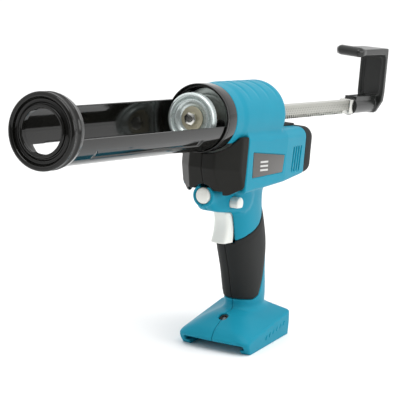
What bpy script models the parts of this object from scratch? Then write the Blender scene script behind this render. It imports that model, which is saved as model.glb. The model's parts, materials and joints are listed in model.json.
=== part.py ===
"""Cordless caulking gun for 310 ml cartridges, built piece by piece.

The gun stands on its battery foot, on the plane z = 0. Its barrel axis is tipped nose up by TILT_DEG.
Everything that belongs to the barrel, the drive and the handle is modelled in the gun's own frame, in
millimetres: x runs backwards along the barrel axis from the collar's front face, y to the right of the
user and z up. The helpers turn millimetres into metres, and the empty gun_axis places that frame.
"""
import math

import bmesh
import bpy
from mathutils import Vector

MM = 0.001
OBJECT_NAME = "caulking_gun"

# Standing pose: the foot is flat on the floor and the barrel points up a little.
TILT_DEG = 7.4
AXIS_HEIGHT = 211.3
ORIGIN_SHIFT = -60.65

# Gaps: a running fit between a shaft and its bore, and the gap that touching pieces keep.
RUN = 0.1
GAP = 0.3
WALL = 2.5

# Cartridge holder, round the barrel axis.
TUBE_R = 27.0
TUBE_WALL = 1.2
NOSE_FRONT = -228.0
NOSE_R = 28.8
NOSE_HOLE_R = 16.5
NOSE_SKIRT_END = -212.0
NOSE_SEAT = -222.5
TUBE_END = 14.2
OPEN_TOP_DEG = (29.0, 187.5)
OPEN_TOP_X = (-213.0, 3.0)
WINDOW_DEG = (-112.0, -31.0)
WINDOW_X = (-203.0, -28.0)
COLLAR_R = 28.5
COLLAR_END = 15.7
FLANGE_R = 26.4
FLANGE_END = 21.0

# Front plate and its screws.
PLATE_R = 24.8
PLATE_X = (15.0, 18.0)
BUSH_R = 9.8
SCREW_CIRCLE_R = 14.5
SCREW_FIRST_DEG = 195.0
PLATE_SCREWS = 3

# Toothed push rod.
ROD_HALF_W = 5.0
ROD_TOP = 5.3
ROD_BOTTOM = -6.7
ROD_X = (-5.0, 284.0)
RACK_X = (6.0, 272.0)
RACK_MODULE = 1.25
PISTON_R = 21.4
PISTON_X = (-12.9, -6.2)
WASHER_R = 10.0
BOLT_R = 5.6

# Pull handle at the rod's end.
PULL_HALF_W = 13.5
PULL_PLATE_X = (341.0, 346.5)
PULL_LIP_X = 282.0
PULL_ARM_Z = (50.0, 57.0)
PULL_BOSS_R = 7.6
PULL_BOSS_X = 296.0

# Drive: the pinion under the rod, the layshaft behind it, and the motor's axis.
PINION_TEETH = 20
GEAR_MODULE = 1.0
OUTPUT_TEETH = 24
LAY_TEETH = 16
PINION_X = 41.0
SHAFT_R = 3.0
LAY_X = 54.4
MOTOR_Z = -33.0
MOTOR_R = 17.5
MOTOR_X = (93.0, 143.0)
GEARBOX_X = (72.3, 92.0)
GEARBOX_R = 16.5
CASE_X = (18.3, 72.0)
CASE_HALF_W = 20.0
CASE_BOTTOM = -49.0
CASE_SPIGOT_R = 21.9

# Body shells.
BARREL_R = 29.3
BARREL_X = (16.0, 110.0)
BARREL_ROUND = 12.0
HOUSING = (  # x, half width, top, bottom
    (38.3, 30.0, -9.5, -62.0),
    (110.0, 30.0, -10.5, -57.0),
    (152.7, 26.5, -11.5, -53.0),
)
HOUSING_CORNER = 9.0
HANDLE = (  # z, centre x, half depth, half width
    (-50.0, 78.0, 34.0, 21.0),
    (-66.0, 80.0, 31.0, 18.0),
    (-80.0, 84.8, 28.8, 16.8),
    (-96.0, 91.6, 29.2, 16.5),
    (-112.0, 97.4, 29.6, 16.6),
    (-136.0, 105.2, 26.2, 15.8),
    (-160.0, 112.2, 23.2, 15.5),
    (-168.0, 114.2, 21.8, 15.0),
    (-180.0, 116.2, 22.2, 15.0),
)
BRIDGE = (  # x, half width, top, bottom
    (22.0, 8.5, -61.5, -73.0),
    (30.0, 12.0, -61.5, -79.5),
    (70.0, 16.5, -61.5, -81.0),
)
DIAL_Z = -66.0
BOSS_R = 9.7
BOSS_X = (20.5, 40.0)
DIAL_R = 6.9
TRIGGER_X = 51.5
TRIGGER_OUTLINE = (  # distance behind the trigger's front edge, z
    (0.0, -82.0), (2.4, -88.0), (3.6, -95.0), (3.0, -102.0), (0.6, -108.6), (6.0, -109.6),
    (16.5, -109.4), (16.5, -82.0),
)
TRIGGER_PIN_Z = -91.0
MOUTH = ((46.0, -8.1, -110.4), (80.0, 8.1, -81.4))
SWITCH_X = (74.6, 102.5)
BUTTON_X = 50.5
BUTTON_Z = -72.6
BUTTON_R = 5.8
VENT_X = (126.5, 132.0, 137.5, 143.0)
VENT_Z = (-49.0, -27.0)
LABEL = ((48.0, -27.7), (106.0, -32.9), (104.0, -47.5), (49.5, -49.0))
SHELL_SCREWS = ((84.0, 17.0, 20.0), (96.0, -62.0, 17.5), (108.0, -103.0, 10.0))

# Gear cover under the collar: plan outline (x, y) of its right half, and its levels.
COVER_PLAN = ((38.0, 30.0), (30.0, 28.5), (13.0, 12.0))
COVER_LEVELS = ((-14.0, 0.0), (-42.0, 0.0), (-64.5, 10.0))  # z, how far the front leans back

# Rubber.
PAD_DEPTH = 2.3
PAD_SIDE = (  # x, z outline of a side pad
    (56.0, -110.5), (64.0, -109.8), (72.0, -107.0), (81.0, -102.8), (89.5, -99.2), (96.5, -94.8),
    (101.5, -88.8), (105.0, -82.5), (109.5, -77.5), (115.0, -81.0), (119.5, -92.0), (121.5, -104.0),
    (121.3, -114.0), (115.5, -143.0), (108.5, -162.5), (70.0, -162.5),
)
PAD_REAR = (
    (124.5, -103.0), (146.0, -103.0), (148.0, -163.5), (130.0, -163.5), (126.5, -128.0),
)

# Rear bumper, in gun space.
BUMPER = (  # x, half width, top, bottom
    (153.0, 26.5, -11.5, -53.0),
    (166.0, 25.0, -13.0, -52.0),
    (175.0, 20.0, -18.0, -47.0),
)
STRIP_X = (112.0, 156.0)
STRIP_HALF_W = 12.0
STRIP_Z = (-12.0, -9.5)

# Battery foot, in the standing frame: x from the gun's frame origin, z from the floor.
FOOT = (  # z, front x, rear x, half width
    (0.0, 43.0, 115.0, 33.5),
    (11.5, 34.0, 115.0, 34.5),
    (21.0, 47.0, 114.5, 33.8),
    (27.0, 61.5, 116.0, 18.0),
)
RAIL_SLOT_Z = 4.0
SLOT_TOP_Z = 8.5
SLOT_HALF_W = 29.0
RAIL_HALF_W = 25.0
LAMP_XZ = (54.8, 23.9)

TEAL = (0.02, 0.31, 0.42)
BLACK = (0.015, 0.016, 0.016)
DARK = (0.03, 0.03, 0.03)
WHITE = (0.83, 0.84, 0.80)
STEEL = (0.55, 0.55, 0.53)
ZINC = (0.62, 0.66, 0.68)
BRASS = (0.70, 0.52, 0.22)
COPPER = (0.60, 0.28, 0.14)
GREEN = (0.02, 0.16, 0.07)
LOOKS = {  # finish: colour, roughness, metallic
    "teal": (TEAL, 0.4, 0.0),
    "black_paint": (BLACK, 0.12, 0.0),
    "rubber": (DARK, 0.75, 0.0),
    "black_plastic": (BLACK, 0.45, 0.0),
    "white": (WHITE, 0.35, 0.0),
    "steel": (STEEL, 0.35, 1.0),
    "zinc": (ZINC, 0.25, 1.0),
    "brass": (BRASS, 0.3, 1.0),
    "copper": (COPPER, 0.4, 1.0),
    "board": (GREEN, 0.5, 0.0),
}

ALONG_X = (0.0, math.radians(90.0), 0.0)
ALONG_Y = (math.radians(-90.0), 0.0, 0.0)
ROUND_STEPS = 32
SMALL_STEPS = 12
RING_POINTS = 20


def clear_scene():
    for obj in list(bpy.data.objects):
        bpy.data.objects.remove(obj, do_unlink=True)


def collection(name):
    made = bpy.data.collections.new(name)
    bpy.context.scene.collection.children.link(made)
    return made


clear_scene()
PARTS = collection(OBJECT_NAME)
CUTTERS = collection("cutters")


def empty(name, location, rotation, parent=None):
    made = bpy.data.objects.new(name, None)
    made.location = Vector(location) * MM
    made.rotation_euler = rotation
    made.parent = parent
    PARTS.objects.link(made)
    return made


GUN = empty("gun_axis", (ORIGIN_SHIFT, 0, AXIS_HEIGHT), (0, math.radians(TILT_DEG), 0))
STAND = empty("standing_frame", (ORIGIN_SHIFT, 0, 0), (0, 0, 0))


def place(name, bm, at=(0, 0, 0), turn=(0, 0, 0), look=None, parent=GUN):
    """An object from a bmesh in millimetres. Without a look it is a cutter."""
    bmesh.ops.scale(bm, vec=(MM, MM, MM), verts=bm.verts)
    bmesh.ops.recalc_face_normals(bm, faces=bm.faces)
    mesh = bpy.data.meshes.new(name)
    bm.to_mesh(mesh)
    bm.free()
    obj = bpy.data.objects.new(name, mesh)
    obj.location = Vector(at) * MM
    obj.rotation_euler = turn
    obj.parent = parent
    finish_object(obj, look)
    return obj


def finish_object(obj, look):
    if look is None:
        CUTTERS.objects.link(obj)
        obj.hide_render = True
        obj.display_type = "WIRE"
        return
    PARTS.objects.link(obj)
    colour, roughness, metallic = LOOKS[look]
    material = bpy.data.materials.new(obj.name)
    material.use_nodes = True
    shader = material.node_tree.nodes["Principled BSDF"]
    shader.inputs["Base Color"].default_value = (*colour, 1.0)
    shader.inputs["Roughness"].default_value = roughness
    shader.inputs["Metallic"].default_value = metallic
    obj.data.materials.append(material)
    obj.data.set_sharp_from_angle(angle=math.radians(35))


def box(name, low, high, look=None, at=(0, 0, 0), parent=GUN):
    """A box from its corners, whose origin is at the point at."""
    bm = bmesh.new()
    bmesh.ops.create_cube(bm, size=1.0)
    size = [h - l for l, h in zip(low, high)]
    middle = [(h + l) / 2 - a for l, h, a in zip(low, high, at)]
    bmesh.ops.scale(bm, vec=size, verts=bm.verts)
    bmesh.ops.translate(bm, vec=middle, verts=bm.verts)
    return place(name, bm, at, look=look, parent=parent)


def cylinder(name, start, length, radius, turn, look=None, steps=SMALL_STEPS, parent=GUN):
    """A cylinder from the point start, length long in the turned z direction."""
    bm = bmesh.new()
    bmesh.ops.create_cone(bm, cap_ends=True, segments=steps, radius1=radius, radius2=radius, depth=length)
    bmesh.ops.translate(bm, vec=(0, 0, length / 2), verts=bm.verts)
    return place(name, bm, start, turn, look, parent)


def turned(name, profile, look=None, at=(0, 0, 0), turn=ALONG_X, steps=ROUND_STEPS, closed=False):
    """A turned piece. The profile is (radius, distance along the axis), down its outer side first."""
    bm = bmesh.new()
    points = [bm.verts.new((radius, 0, along)) for radius, along in profile]
    pairs = list(zip(points, points[1:]))
    if closed:
        pairs.append((points[-1], points[0]))
    for pair in pairs:
        bm.edges.new(pair)
    obj = place(name, bm, at, turn, look)
    screw = obj.modifiers.new("turn", "SCREW")
    screw.steps = screw.render_steps = steps
    screw.use_merge_vertices = True
    screw.merge_threshold = 0.00001
    return obj


def prism(name, outline, low, high, axis="Y", look=None, at=(0, 0, 0), turn=(0, 0, 0), parent=GUN):
    """A flat outline pushed along an axis. The outline holds the two other coordinates, in order."""
    corner = {"X": lambda a, b: (low, a, b), "Y": lambda a, b: (a, low, b), "Z": lambda a, b: (a, b, low)}
    way = {"X": (high - low, 0, 0), "Y": (0, high - low, 0), "Z": (0, 0, high - low)}
    bm = bmesh.new()
    face = bm.faces.new([bm.verts.new(corner[axis](a, b)) for a, b in outline])
    pushed = bmesh.ops.extrude_face_region(bm, geom=[face])["geom"]
    bmesh.ops.translate(bm, vec=way[axis], verts=[v for v in pushed if isinstance(v, bmesh.types.BMVert)])
    return place(name, bm, at, turn, look, parent)


def loft(name, rings, look=None, parent=GUN):
    """A closed body through rings of points, all with the same number of points."""
    bm = bmesh.new()
    rows = [[bm.verts.new(point) for point in ring] for ring in rings]
    for first, second in zip(rows, rows[1:]):
        for i in range(len(first)):
            j = (i + 1) % len(first)
            bm.faces.new((first[i], first[j], second[j], second[i]))
    bm.faces.new(rows[0])
    bm.faces.new(rows[-1])
    return place(name, bm, look=look, parent=parent)


def change(obj, operation, *others):
    for other in others:
        cut = obj.modifiers.new(operation.lower(), "BOOLEAN")
        cut.operation = operation
        cut.object = other
    return obj


def cut(obj, *others):
    return change(obj, "DIFFERENCE", *others)


def join(obj, *others):
    return change(obj, "UNION", *others)


def keep(obj, *others):
    return change(obj, "INTERSECT", *others)


def copy_of(obj, name, look=None):
    """A plain mesh copy of an object as its modifiers leave it."""
    graph = bpy.context.evaluated_depsgraph_get()
    mesh = bpy.data.meshes.new_from_object(obj.evaluated_get(graph))
    mesh.materials.clear()
    made = bpy.data.objects.new(name, mesh)
    made.parent = obj.parent
    made.matrix_basis = obj.matrix_basis
    finish_object(made, look)
    return made


def arc(centre, radius, first_deg, last_deg, steps):
    turn = (last_deg - first_deg) / steps
    angles = [math.radians(first_deg + turn * i) for i in range(steps + 1)]
    return [(centre[0] + radius * math.cos(a), centre[1] + radius * math.sin(a)) for a in angles]


def sector(name, degrees, along):
    """A wedge round the barrel axis, for cutting tubes. Angles run from +y towards +z."""
    reach = 1.6 * TUBE_R
    outline = [(0, 0)] + arc((0, 0), reach, *degrees, 8)
    return prism(name, outline, *along, axis="X")


def rounded_ring(x, half_w, top, bottom, inset=0.0):
    """A rounded rectangle across the x direction."""
    corner = HOUSING_CORNER
    half_w, top, bottom = half_w - inset, top - inset, bottom + inset
    centres = (
        (half_w - corner, top - corner, 0), (corner - half_w, top - corner, 90),
        (corner - half_w, bottom + corner, 180), (half_w - corner, bottom + corner, 270),
    )
    ring = []
    for y, z, first in centres:
        ring += arc((y, z), corner, first, first + 90, 4)
    return [(x, y, z) for y, z in ring]


def oval_ring(z, centre, half_depth, half_w, inset=0.0):
    """An oval with flattened sides across the z direction."""
    ring = []
    for i in range(RING_POINTS):
        angle = 2 * math.pi * i / RING_POINTS
        c, s = math.cos(angle), math.sin(angle)
        x = centre + (half_depth - inset) * math.copysign(abs(c) ** 0.9, c)
        y = (half_w - inset) * math.copysign(abs(s) ** 0.8, s)
        ring.append((x, y, z))
    return ring


def foot_ring(z, front, rear, half_w, inset=0.0):
    """A square-shouldered ring across the z direction, with a bowed front."""
    ring = []
    middle, half = (front + rear) / 2, (rear - front) / 2 - inset
    for i in range(RING_POINTS):
        angle = 2 * math.pi * i / RING_POINTS
        c, s = math.cos(angle), math.sin(angle)
        power = 0.25 if z < 25 else 0.8
        x = middle + half * math.copysign(abs(c) ** power, c)
        y = (half_w - inset) * math.copysign(abs(s) ** power, s)
        ring.append((x, y, z))
    return ring


def gear_outline(teeth, module, phase_deg=0.0, tip=1.0, root=1.2, share=0.42):
    """A spur gear's outline: four points a tooth, with backlash."""
    pitch_r = teeth * module / 2
    outline = []
    step = 2 * math.pi / teeth
    for i in range(teeth):
        middle = step * i + math.radians(phase_deg)
        for radius, part in ((-root, -0.66), (tip, -0.27), (tip, 0.27), (-root, 0.66)):
            angle = middle + part * share * step
            r = pitch_r + radius * module
            outline.append((r * math.cos(angle), r * math.sin(angle)))
    return outline


# --- Cartridge holder ---------------------------------------------------------------------------
def nose_ring():
    rim = 3.0
    rim_centre = (NOSE_R - rim, NOSE_FRONT + rim)
    front = arc(rim_centre, rim, 0, -180, 4)
    lip = arc((17.7, NOSE_FRONT + 2.2), 1.2, 0, -180, 3)
    profile = [(TUBE_R + 1.0, NOSE_SKIRT_END), (TUBE_R + 1.6, NOSE_SKIRT_END - 7.0), *front]
    profile += [(22.6, NOSE_FRONT + 4.0), (19.4, NOSE_FRONT + 3.4), *lip]
    profile += [(NOSE_HOLE_R, NOSE_SEAT + 0.5), (NOSE_HOLE_R + 1, NOSE_SEAT)]
    profile += [(TUBE_R + GAP, NOSE_SEAT), (TUBE_R + GAP, NOSE_SKIRT_END)]
    turned("nose_ring", profile, "black_paint", closed=True)


def holder_trough():
    inner = TUBE_R - TUBE_WALL
    front = NOSE_SEAT + GAP
    profile = [(TUBE_R, TUBE_END), (TUBE_R, front), (inner, front), (inner, TUBE_END)]
    tube = turned("holder_trough", profile, "black_paint", closed=True)
    cut(tube, sector("open_top", OPEN_TOP_DEG, OPEN_TOP_X), sector("bottom_window", WINDOW_DEG, WINDOW_X))


def collar_ring():
    step_x = PLATE_X[0] - GAP - 0.1
    bore = TUBE_R + GAP
    profile = [
        (FLANGE_R, FLANGE_END), (FLANGE_R, COLLAR_END), (COLLAR_R, COLLAR_END), (COLLAR_R, 0.8),
        (COLLAR_R - 0.4, 0.0), (bore, 0.0), (bore, step_x), (PLATE_R + GAP, step_x),
        (PLATE_R + GAP, PLATE_X[1] + GAP), (CASE_SPIGOT_R + GAP, PLATE_X[1] + GAP),
        (CASE_SPIGOT_R + GAP, FLANGE_END),
    ]
    turned("collar_ring", profile, "black_paint", closed=True)


# --- Front plate and rod guides -----------------------------------------------------------------
def screw_places():
    step = 360 / PLATE_SCREWS
    angles = [math.radians(SCREW_FIRST_DEG + step * i) for i in range(PLATE_SCREWS)]
    return [(SCREW_CIRCLE_R * math.cos(a), SCREW_CIRCLE_R * math.sin(a)) for a in angles]


def front_plate():
    x0, x1 = PLATE_X
    plate = turned("front_plate", [(PLATE_R, x1), (PLATE_R, x0), (BUSH_R + GAP, x0), (BUSH_R + GAP, x1)],
                   "zinc", closed=True)
    for i, (y, z) in enumerate(screw_places(), 1):
        cut(plate, cylinder(f"plate_hole_{i}", (x0 - 1, y, z), x1 - x0 + 2, 2.2, ALONG_X))
        profile = [(0, 26.0), (1.9, 26.0), (1.9, x0 - GAP), (3.6, x0 - GAP), (3.6, 11.2), (0, 11.2)]
        screw = turned(f"plate_screw_{i}", profile, "black_plastic", (0, y, z), steps=16)
        socket = cylinder(f"socket_{i}", (10.2, y, z), 3.0, 1.7, ALONG_X, steps=6)
        cut(screw, socket)


def rod_channel(name, low, high, clearance):
    half = ROD_HALF_W + clearance
    return box(name, (low, -half, ROD_BOTTOM - clearance), (high, half, ROD_TOP + clearance))


def rod_bushes():
    front = cylinder("rod_bush_front", (12.5, 0, 0), 11.5, BUSH_R, ALONG_X, "brass", 20)
    cut(front, rod_channel("front_bush_bore", 10.0, 26.0, RUN))
    rear = cylinder("rod_bush_rear", (101.0, 0, 0), 10.5, BUSH_R + 1.0, ALONG_X, "black_plastic", 20)
    cut(rear, rod_channel("rear_bush_bore", 99.0, 113.0, RUN))


# --- Push rod group -----------------------------------------------------------------------------
def rack_teeth():
    """Points along the rod's underside, from the front to the back."""
    pitch = math.pi * RACK_MODULE
    root = ROD_BOTTOM + 2.25 * RACK_MODULE
    count = int((RACK_X[1] - PINION_X) / pitch)
    first = int((RACK_X[0] - PINION_X) / pitch)
    points = [(ROD_X[0], root), (RACK_X[0] - pitch, root)]
    for i in range(first, count + 1):
        middle = PINION_X + pitch * (i + 0.5)
        for part, z in ((-0.36, root), (-0.13, ROD_BOTTOM), (0.13, ROD_BOTTOM), (0.36, root)):
            points.append((middle + part * pitch, z))
    points.append((RACK_X[1] + pitch, root))
    return points


def push_rod():
    outline = rack_teeth()
    outline += [(ROD_X[1], outline[-1][1]), (ROD_X[1], ROD_TOP), (ROD_X[0], ROD_TOP)]
    prism("rack_rod", outline, -ROD_HALF_W, ROD_HALF_W, "Y", "steel")
    x0, x1 = PISTON_X
    rim = arc((PISTON_R - 1.9, x0 + 1.9), 1.9, 0, -180, 8)
    profile = [(PISTON_R, x1), *rim, (16.9, x0 + 2.5), (15.0, x0 + 1.6), (11.8, x0 + 4.5)]
    profile += [(3.4, x0 + 4.5), (3.4, x0 + 6.0), (18.6, x0 + 6.0), (19.6, x1)]
    turned("piston", profile, "zinc", closed=True)
    turned("piston_washer", [(WASHER_R, x0 + 4.2), (WASHER_R, x0 + 3.4), (3.4, x0 + 3.4), (3.4, x0 + 4.2)],
           "steel", steps=20, closed=True)
    bolt = cylinder("piston_bolt", (x0 - 0.7, 0, 0), 3.8, BOLT_R, ALONG_X, "steel", 6)
    join(bolt, cylinder("bolt_shank", (x0, 0, 0), ROD_X[0] - GAP - x0, 3.0, ALONG_X))
    turned("piston_nut", [(9.5, ROD_X[0] - GAP), (9.5, x0 + 6.3), (3.4, x0 + 6.3), (3.4, ROD_X[0] - GAP)],
           "steel", steps=20, closed=True)


def pull_handle():
    ferrule = box("rod_end_block", (ROD_X[1] + GAP, -6.0, -7.6), (PULL_BOSS_X - 2.4, 6.0, 6.4), "steel")
    bevel = ferrule.modifiers.new("edges", "BEVEL")
    bevel.width = 1.2 * MM
    bevel.segments = 2
    cylinder("handle_flange", (PULL_BOSS_X - 2.1, 0, -0.4), 1.8, 8.7, ALONG_X, "black_plastic", 20)
    (lip_z0, lip_z1), (x0, x1) = PULL_ARM_Z, PULL_PLATE_X
    strap = [
        (x0, -3.0), (x0, lip_z0 - 3.0), (x0 - 3.0, lip_z0), (PULL_LIP_X + 9.0, lip_z0),
        (PULL_LIP_X + 4.0, lip_z0 - 1.6), (PULL_LIP_X + 0.6, lip_z0 + 1.6), (PULL_LIP_X, lip_z0 + 4.4),
        (PULL_LIP_X + 2.2, lip_z1), (x1 - 2.0, lip_z1), (x1, lip_z1 - 2.0), (x1, -7.0), (x1 - 3.5, -9.0),
        (x0 + 1.0, -7.0),
    ]
    handle = prism("pull_handle", strap, -PULL_HALF_W, PULL_HALF_W, "Y", "black_plastic")
    boss = cylinder("pull_boss", (PULL_BOSS_X, 0, -0.4), x0 - PULL_BOSS_X + 2.0, PULL_BOSS_R, ALONG_X, steps=20)
    ledge = box("pull_ledge", (PULL_BOSS_X, -6.0, 6.2), (x0 + 2.0, 6.0, 9.2))
    channel = box("pull_channel", (x0 - 1.0, -9.0, 11.5), (x0 + 1.6, 9.0, lip_z0 - 5.0))
    across = [(-PULL_HALF_W, 70.0), (-PULL_HALF_W, 4.0), (-6.5, -8.6), (6.5, -8.6), (PULL_HALF_W, 4.0),
              (PULL_HALF_W, 70.0)]
    keep(handle, prism("pull_width", across, PULL_LIP_X - 5.0, x1 + 5.0, "X"))
    cut(join(handle, boss, ledge), channel)


# --- Drive --------------------------------------------------------------------------------------
def shaft_heights():
    """z of the drive shaft, in mesh with the rod, and of the layshaft, in mesh with the output gear."""
    pinion_r = PINION_TEETH * RACK_MODULE / 2
    drive_z = ROD_BOTTOM + RACK_MODULE - pinion_r - 0.1
    return drive_z, MOTOR_Z


def gear(name, teeth, module, low, high, at, look, phase=0.0):
    wheel = prism(name, gear_outline(teeth, module, phase), low, high, "Z", look, at, ALONG_Y)
    bore = cylinder(f"{name}_bore", (at[0], low - 1, at[2]), high - low + 2, SHAFT_R + GAP, ALONG_Y)
    return cut(wheel, bore)


def bevel_ring(teeth, radius, along, axis, centre):
    outline = gear_outline(teeth, 2 * radius / teeth, tip=-0.25, root=0.9)
    x, y, z = centre
    if axis == "X":
        return [(x + along, y + a, z + b) for a, b in outline]
    return [(x + a, y + along, z + b) for a, b in outline]


def drive_train():
    drive_z, lay_z = shaft_heights()
    drive, lay = (PINION_X, 0, drive_z), (LAY_X, 0, lay_z)
    gear("drive_pinion", PINION_TEETH, RACK_MODULE, -4.0, 4.0, drive, "steel", 90.0)
    mesh_deg = math.degrees(math.atan2(drive_z - lay_z, LAY_X - PINION_X))
    gear("output_gear", OUTPUT_TEETH, GEAR_MODULE, 7.0, 13.0, drive, "steel", mesh_deg)
    half_tooth = 180.0 / LAY_TEETH
    gear("layshaft_gear", LAY_TEETH, GEAR_MODULE, 7.0, 13.0, lay, "steel", mesh_deg + 180.0 + half_tooth)
    length = 2 * CASE_HALF_W - 1.0
    for name, (x, _, z) in (("drive_shaft", drive), ("layshaft", lay)):
        cylinder(name, (x, -length / 2, z), length, SHAFT_R, ALONG_Y, "steel")
    rings = [bevel_ring(24, r, -along, "Y", lay) for r, along in ((8.0, 4.4), (12.0, 6.4), (10.0, 9.5))]
    crown = loft("bevel_gear", rings, "steel")
    cut(crown, cylinder("crown_bore", (LAY_X, -12.0, lay_z), 9.0, SHAFT_R + GAP, ALONG_Y))
    rings = [bevel_ring(12, r, along, "X", lay) for r, along in ((4.0, 8.2), (6.0, 12.2), (5.0, 13.6))]
    small = loft("bevel_pinion", rings, "steel")
    join(small, cylinder("clutch_shaft", (LAY_X + 12.6, 0, lay_z), 7.2, SHAFT_R, ALONG_X))


def gear_case():
    drive_z, lay_z = shaft_heights()
    x0, x1 = CASE_X
    wide = CASE_HALF_W
    case = cylinder("gear_case", (x0, 0, 0), 62.0 - x0, CASE_SPIGOT_R, ALONG_X, "zinc", 28)
    join(case, box("case_block", (25.5, -wide, -33.0), (x1, wide, -1.0)),
         box("case_sump", (33.0, -wide, CASE_BOTTOM), (x1, wide, -32.0)))
    inner = wide - WALL
    cavity = box("case_cavity", (26.9, -inner, -31.0), (x1 - WALL, inner, -4.5))
    sump = box("sump_cavity", (35.5, -inner, CASE_BOTTOM + WALL), (x1 - WALL, inner, -4.6))
    upper = box("case_upper", (60.0, -inner, -9.0), (x1 + 2.0, inner, 6.0))
    cut(case, rod_channel("case_channel", x0 - 1, x1 + 1, 0.5), cavity, sump, upper)
    cut(case, cylinder("front_bush_seat", (x0 - 1, 0, 0), 24.3 - x0 + 1, BUSH_R + GAP, ALONG_X, steps=20))
    for name, x, z in (("drive", PINION_X, drive_z), ("lay", LAY_X, lay_z)):
        cut(case, cylinder(f"{name}_bearing", (x, -wide - 1, z), 2 * wide + 2, SHAFT_R + RUN, ALONG_Y))
    cut(case, cylinder("clutch_bearing", (x1 - 5, 0, lay_z), 7.0, SHAFT_R + RUN, ALONG_X))
    for i, (y, z) in enumerate(screw_places(), 1):
        cut(case, cylinder(f"case_hole_{i}", (x0 - 1, y, z), 9.2, 2.2, ALONG_X))


def gearbox_and_motor():
    x0, x1 = GEARBOX_X
    r = GEARBOX_R
    at = (0, 0, MOTOR_Z)
    turned("ring_gear", [(r, x1), (r, x0), (SHAFT_R + 1.0, x0), (SHAFT_R + 1.0, x0 + 1.6), (r - 2.0, x0 + 1.6),
                         (r - 2.0, x1)], "zinc", at, closed=True)
    carrier = cylinder("planet_carrier", (x0 + 2.2, 0, MOTOR_Z), 3.0, 13.0, ALONG_X, "steel", 20)
    for i in range(3):
        angle = math.radians(90 + 120 * i)
        y, z = 8.9 * math.cos(angle), MOTOR_Z + 8.9 * math.sin(angle)
        join(carrier, cylinder(f"planet_pin_{i}", (x0 + 4.0, y, z), 11.0, 1.5, ALONG_X, steps=12))
        wheel = prism(f"planet_gear_{i + 1}", gear_outline(13, 0.7), x0 + 6.0, x0 + 14.0, "Z", "steel",
                      (0, y, z), ALONG_X)
        cut(wheel, cylinder(f"planet_bore_{i}", (x0 + 5.0, y, z), 10.0, 1.8, ALONG_X, steps=12))
    sun = prism("sun_gear", gear_outline(8, 0.7), x0 + 7.0, x0 + 15.0, "Z", "brass", at, ALONG_X)
    cut(sun, cylinder("sun_bore", (x0 + 6.0, 0, MOTOR_Z), 10.0, 1.4, ALONG_X, steps=12))
    m0, m1 = MOTOR_X
    can = [(MOTOR_R, m1), (MOTOR_R, m0), (4.0, m0), (4.0, m0 + 1.5), (MOTOR_R - 1.5, m0 + 1.5),
           (MOTOR_R - 1.5, m1)]
    turned("motor_can", can, "zinc", at, closed=True)
    back = [(MOTOR_R - 1.8, m1), (MOTOR_R - 1.8, m1 - 3.0), (1.8, m1 - 3.0), (1.8, m1)]
    turned("motor_end_plate", back, "black_plastic", at, closed=True)
    cylinder("motor_shaft", (x0 + 6.0, 0, MOTOR_Z), m1 + 5.5 - x0 - 6.0, 1.1, ALONG_X, "steel", 12)
    turned("motor_rotor", [(13.5, m1 - 8.0), (13.5, m0 + 5.0), (1.4, m0 + 5.0), (1.4, m1 - 8.0)],
           "copper", at, closed=True)
    hub = [(4.0, m1 + 5.5), (4.0, m1 + 1.0), (1.4, m1 + 1.0), (1.4, m1 + 5.5)]
    fan = turned("cooling_fan", hub, "black_plastic", at, steps=16, closed=True)
    for i in range(8):
        blade = box(f"fan_blade_{i}", (m1 + 1.5, -0.7, 3.2), (m1 + 5.0, 0.7, 15.0), at=(m1, 0, 0))
        blade.location = Vector((m1, 0, MOTOR_Z)) * MM
        blade.rotation_euler = (math.radians(45 * i), 0, 0)
        join(fan, blade)


# --- Body shells --------------------------------------------------------------------------------
def barrel_solid(name, radius, low, high, corner):
    profile = [(0, high), *arc((radius - corner, high - corner), corner, 90, 0, 4), (radius, low), (0, low)]
    return turned(name, profile)


def foot_frame_loft(name, inset, levels):
    return loft(name, [foot_ring(*level, inset=inset) for level in levels], parent=STAND)


def handle_loft(name, inset):
    return loft(name, [oval_ring(*level, inset=inset) for level in HANDLE])


def rounded_loft(name, sections, inset, stretch=(0.0, 0.0)):
    rings = []
    for i, (x, half_w, top, bottom) in enumerate(sections):
        shift = stretch[0] if i == 0 else stretch[1] if i == len(sections) - 1 else 0.0
        rings.append(rounded_ring(x + shift, half_w, top, bottom, inset))
    return loft(name, rings)


def bridge_loft():
    rings = []
    for x, half_w, top, bottom in BRIDGE:
        rings.append([(x, y, z) for y, z in ((half_w, top), (-half_w, top), (-half_w, bottom + 4.0),
                                             (4.0 - half_w, bottom), (half_w - 4.0, bottom), (half_w, bottom + 4.0))])
    return loft("bridge", rings)


def body_solid():
    """The whole body before it is split: outside less inside, with its openings."""
    body = barrel_solid("body_whole", BARREL_R, *BARREL_X, BARREL_ROUND)
    boss = cylinder("dial_boss", (BOSS_X[0], 0, DIAL_Z), BOSS_X[1] - BOSS_X[0], BOSS_R, ALONG_X, steps=20)
    join(body, rounded_loft("housing_out", HOUSING, 0.0), handle_loft("handle_out", 0.0),
         foot_frame_loft("foot_out", 0.0, FOOT), bridge_loft(), boss)
    levels = (SLOT_TOP_Z + 3.0, FOOT[2][0] - WALL, FOOT[3][0] - WALL - 0.5)
    inside_foot = [(z, *level[1:]) for z, level in zip(levels, FOOT[1:])]
    cut(body,
        barrel_solid("barrel_in", BARREL_R - WALL, BARREL_X[0] - 1, BARREL_X[1] - 4, BARREL_ROUND - WALL),
        rounded_loft("housing_in", HOUSING, WALL, (-3.0, -WALL)),
        handle_loft("handle_in", WALL + PAD_DEPTH),
        foot_frame_loft("foot_in", WALL, inside_foot))
    return body


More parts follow.
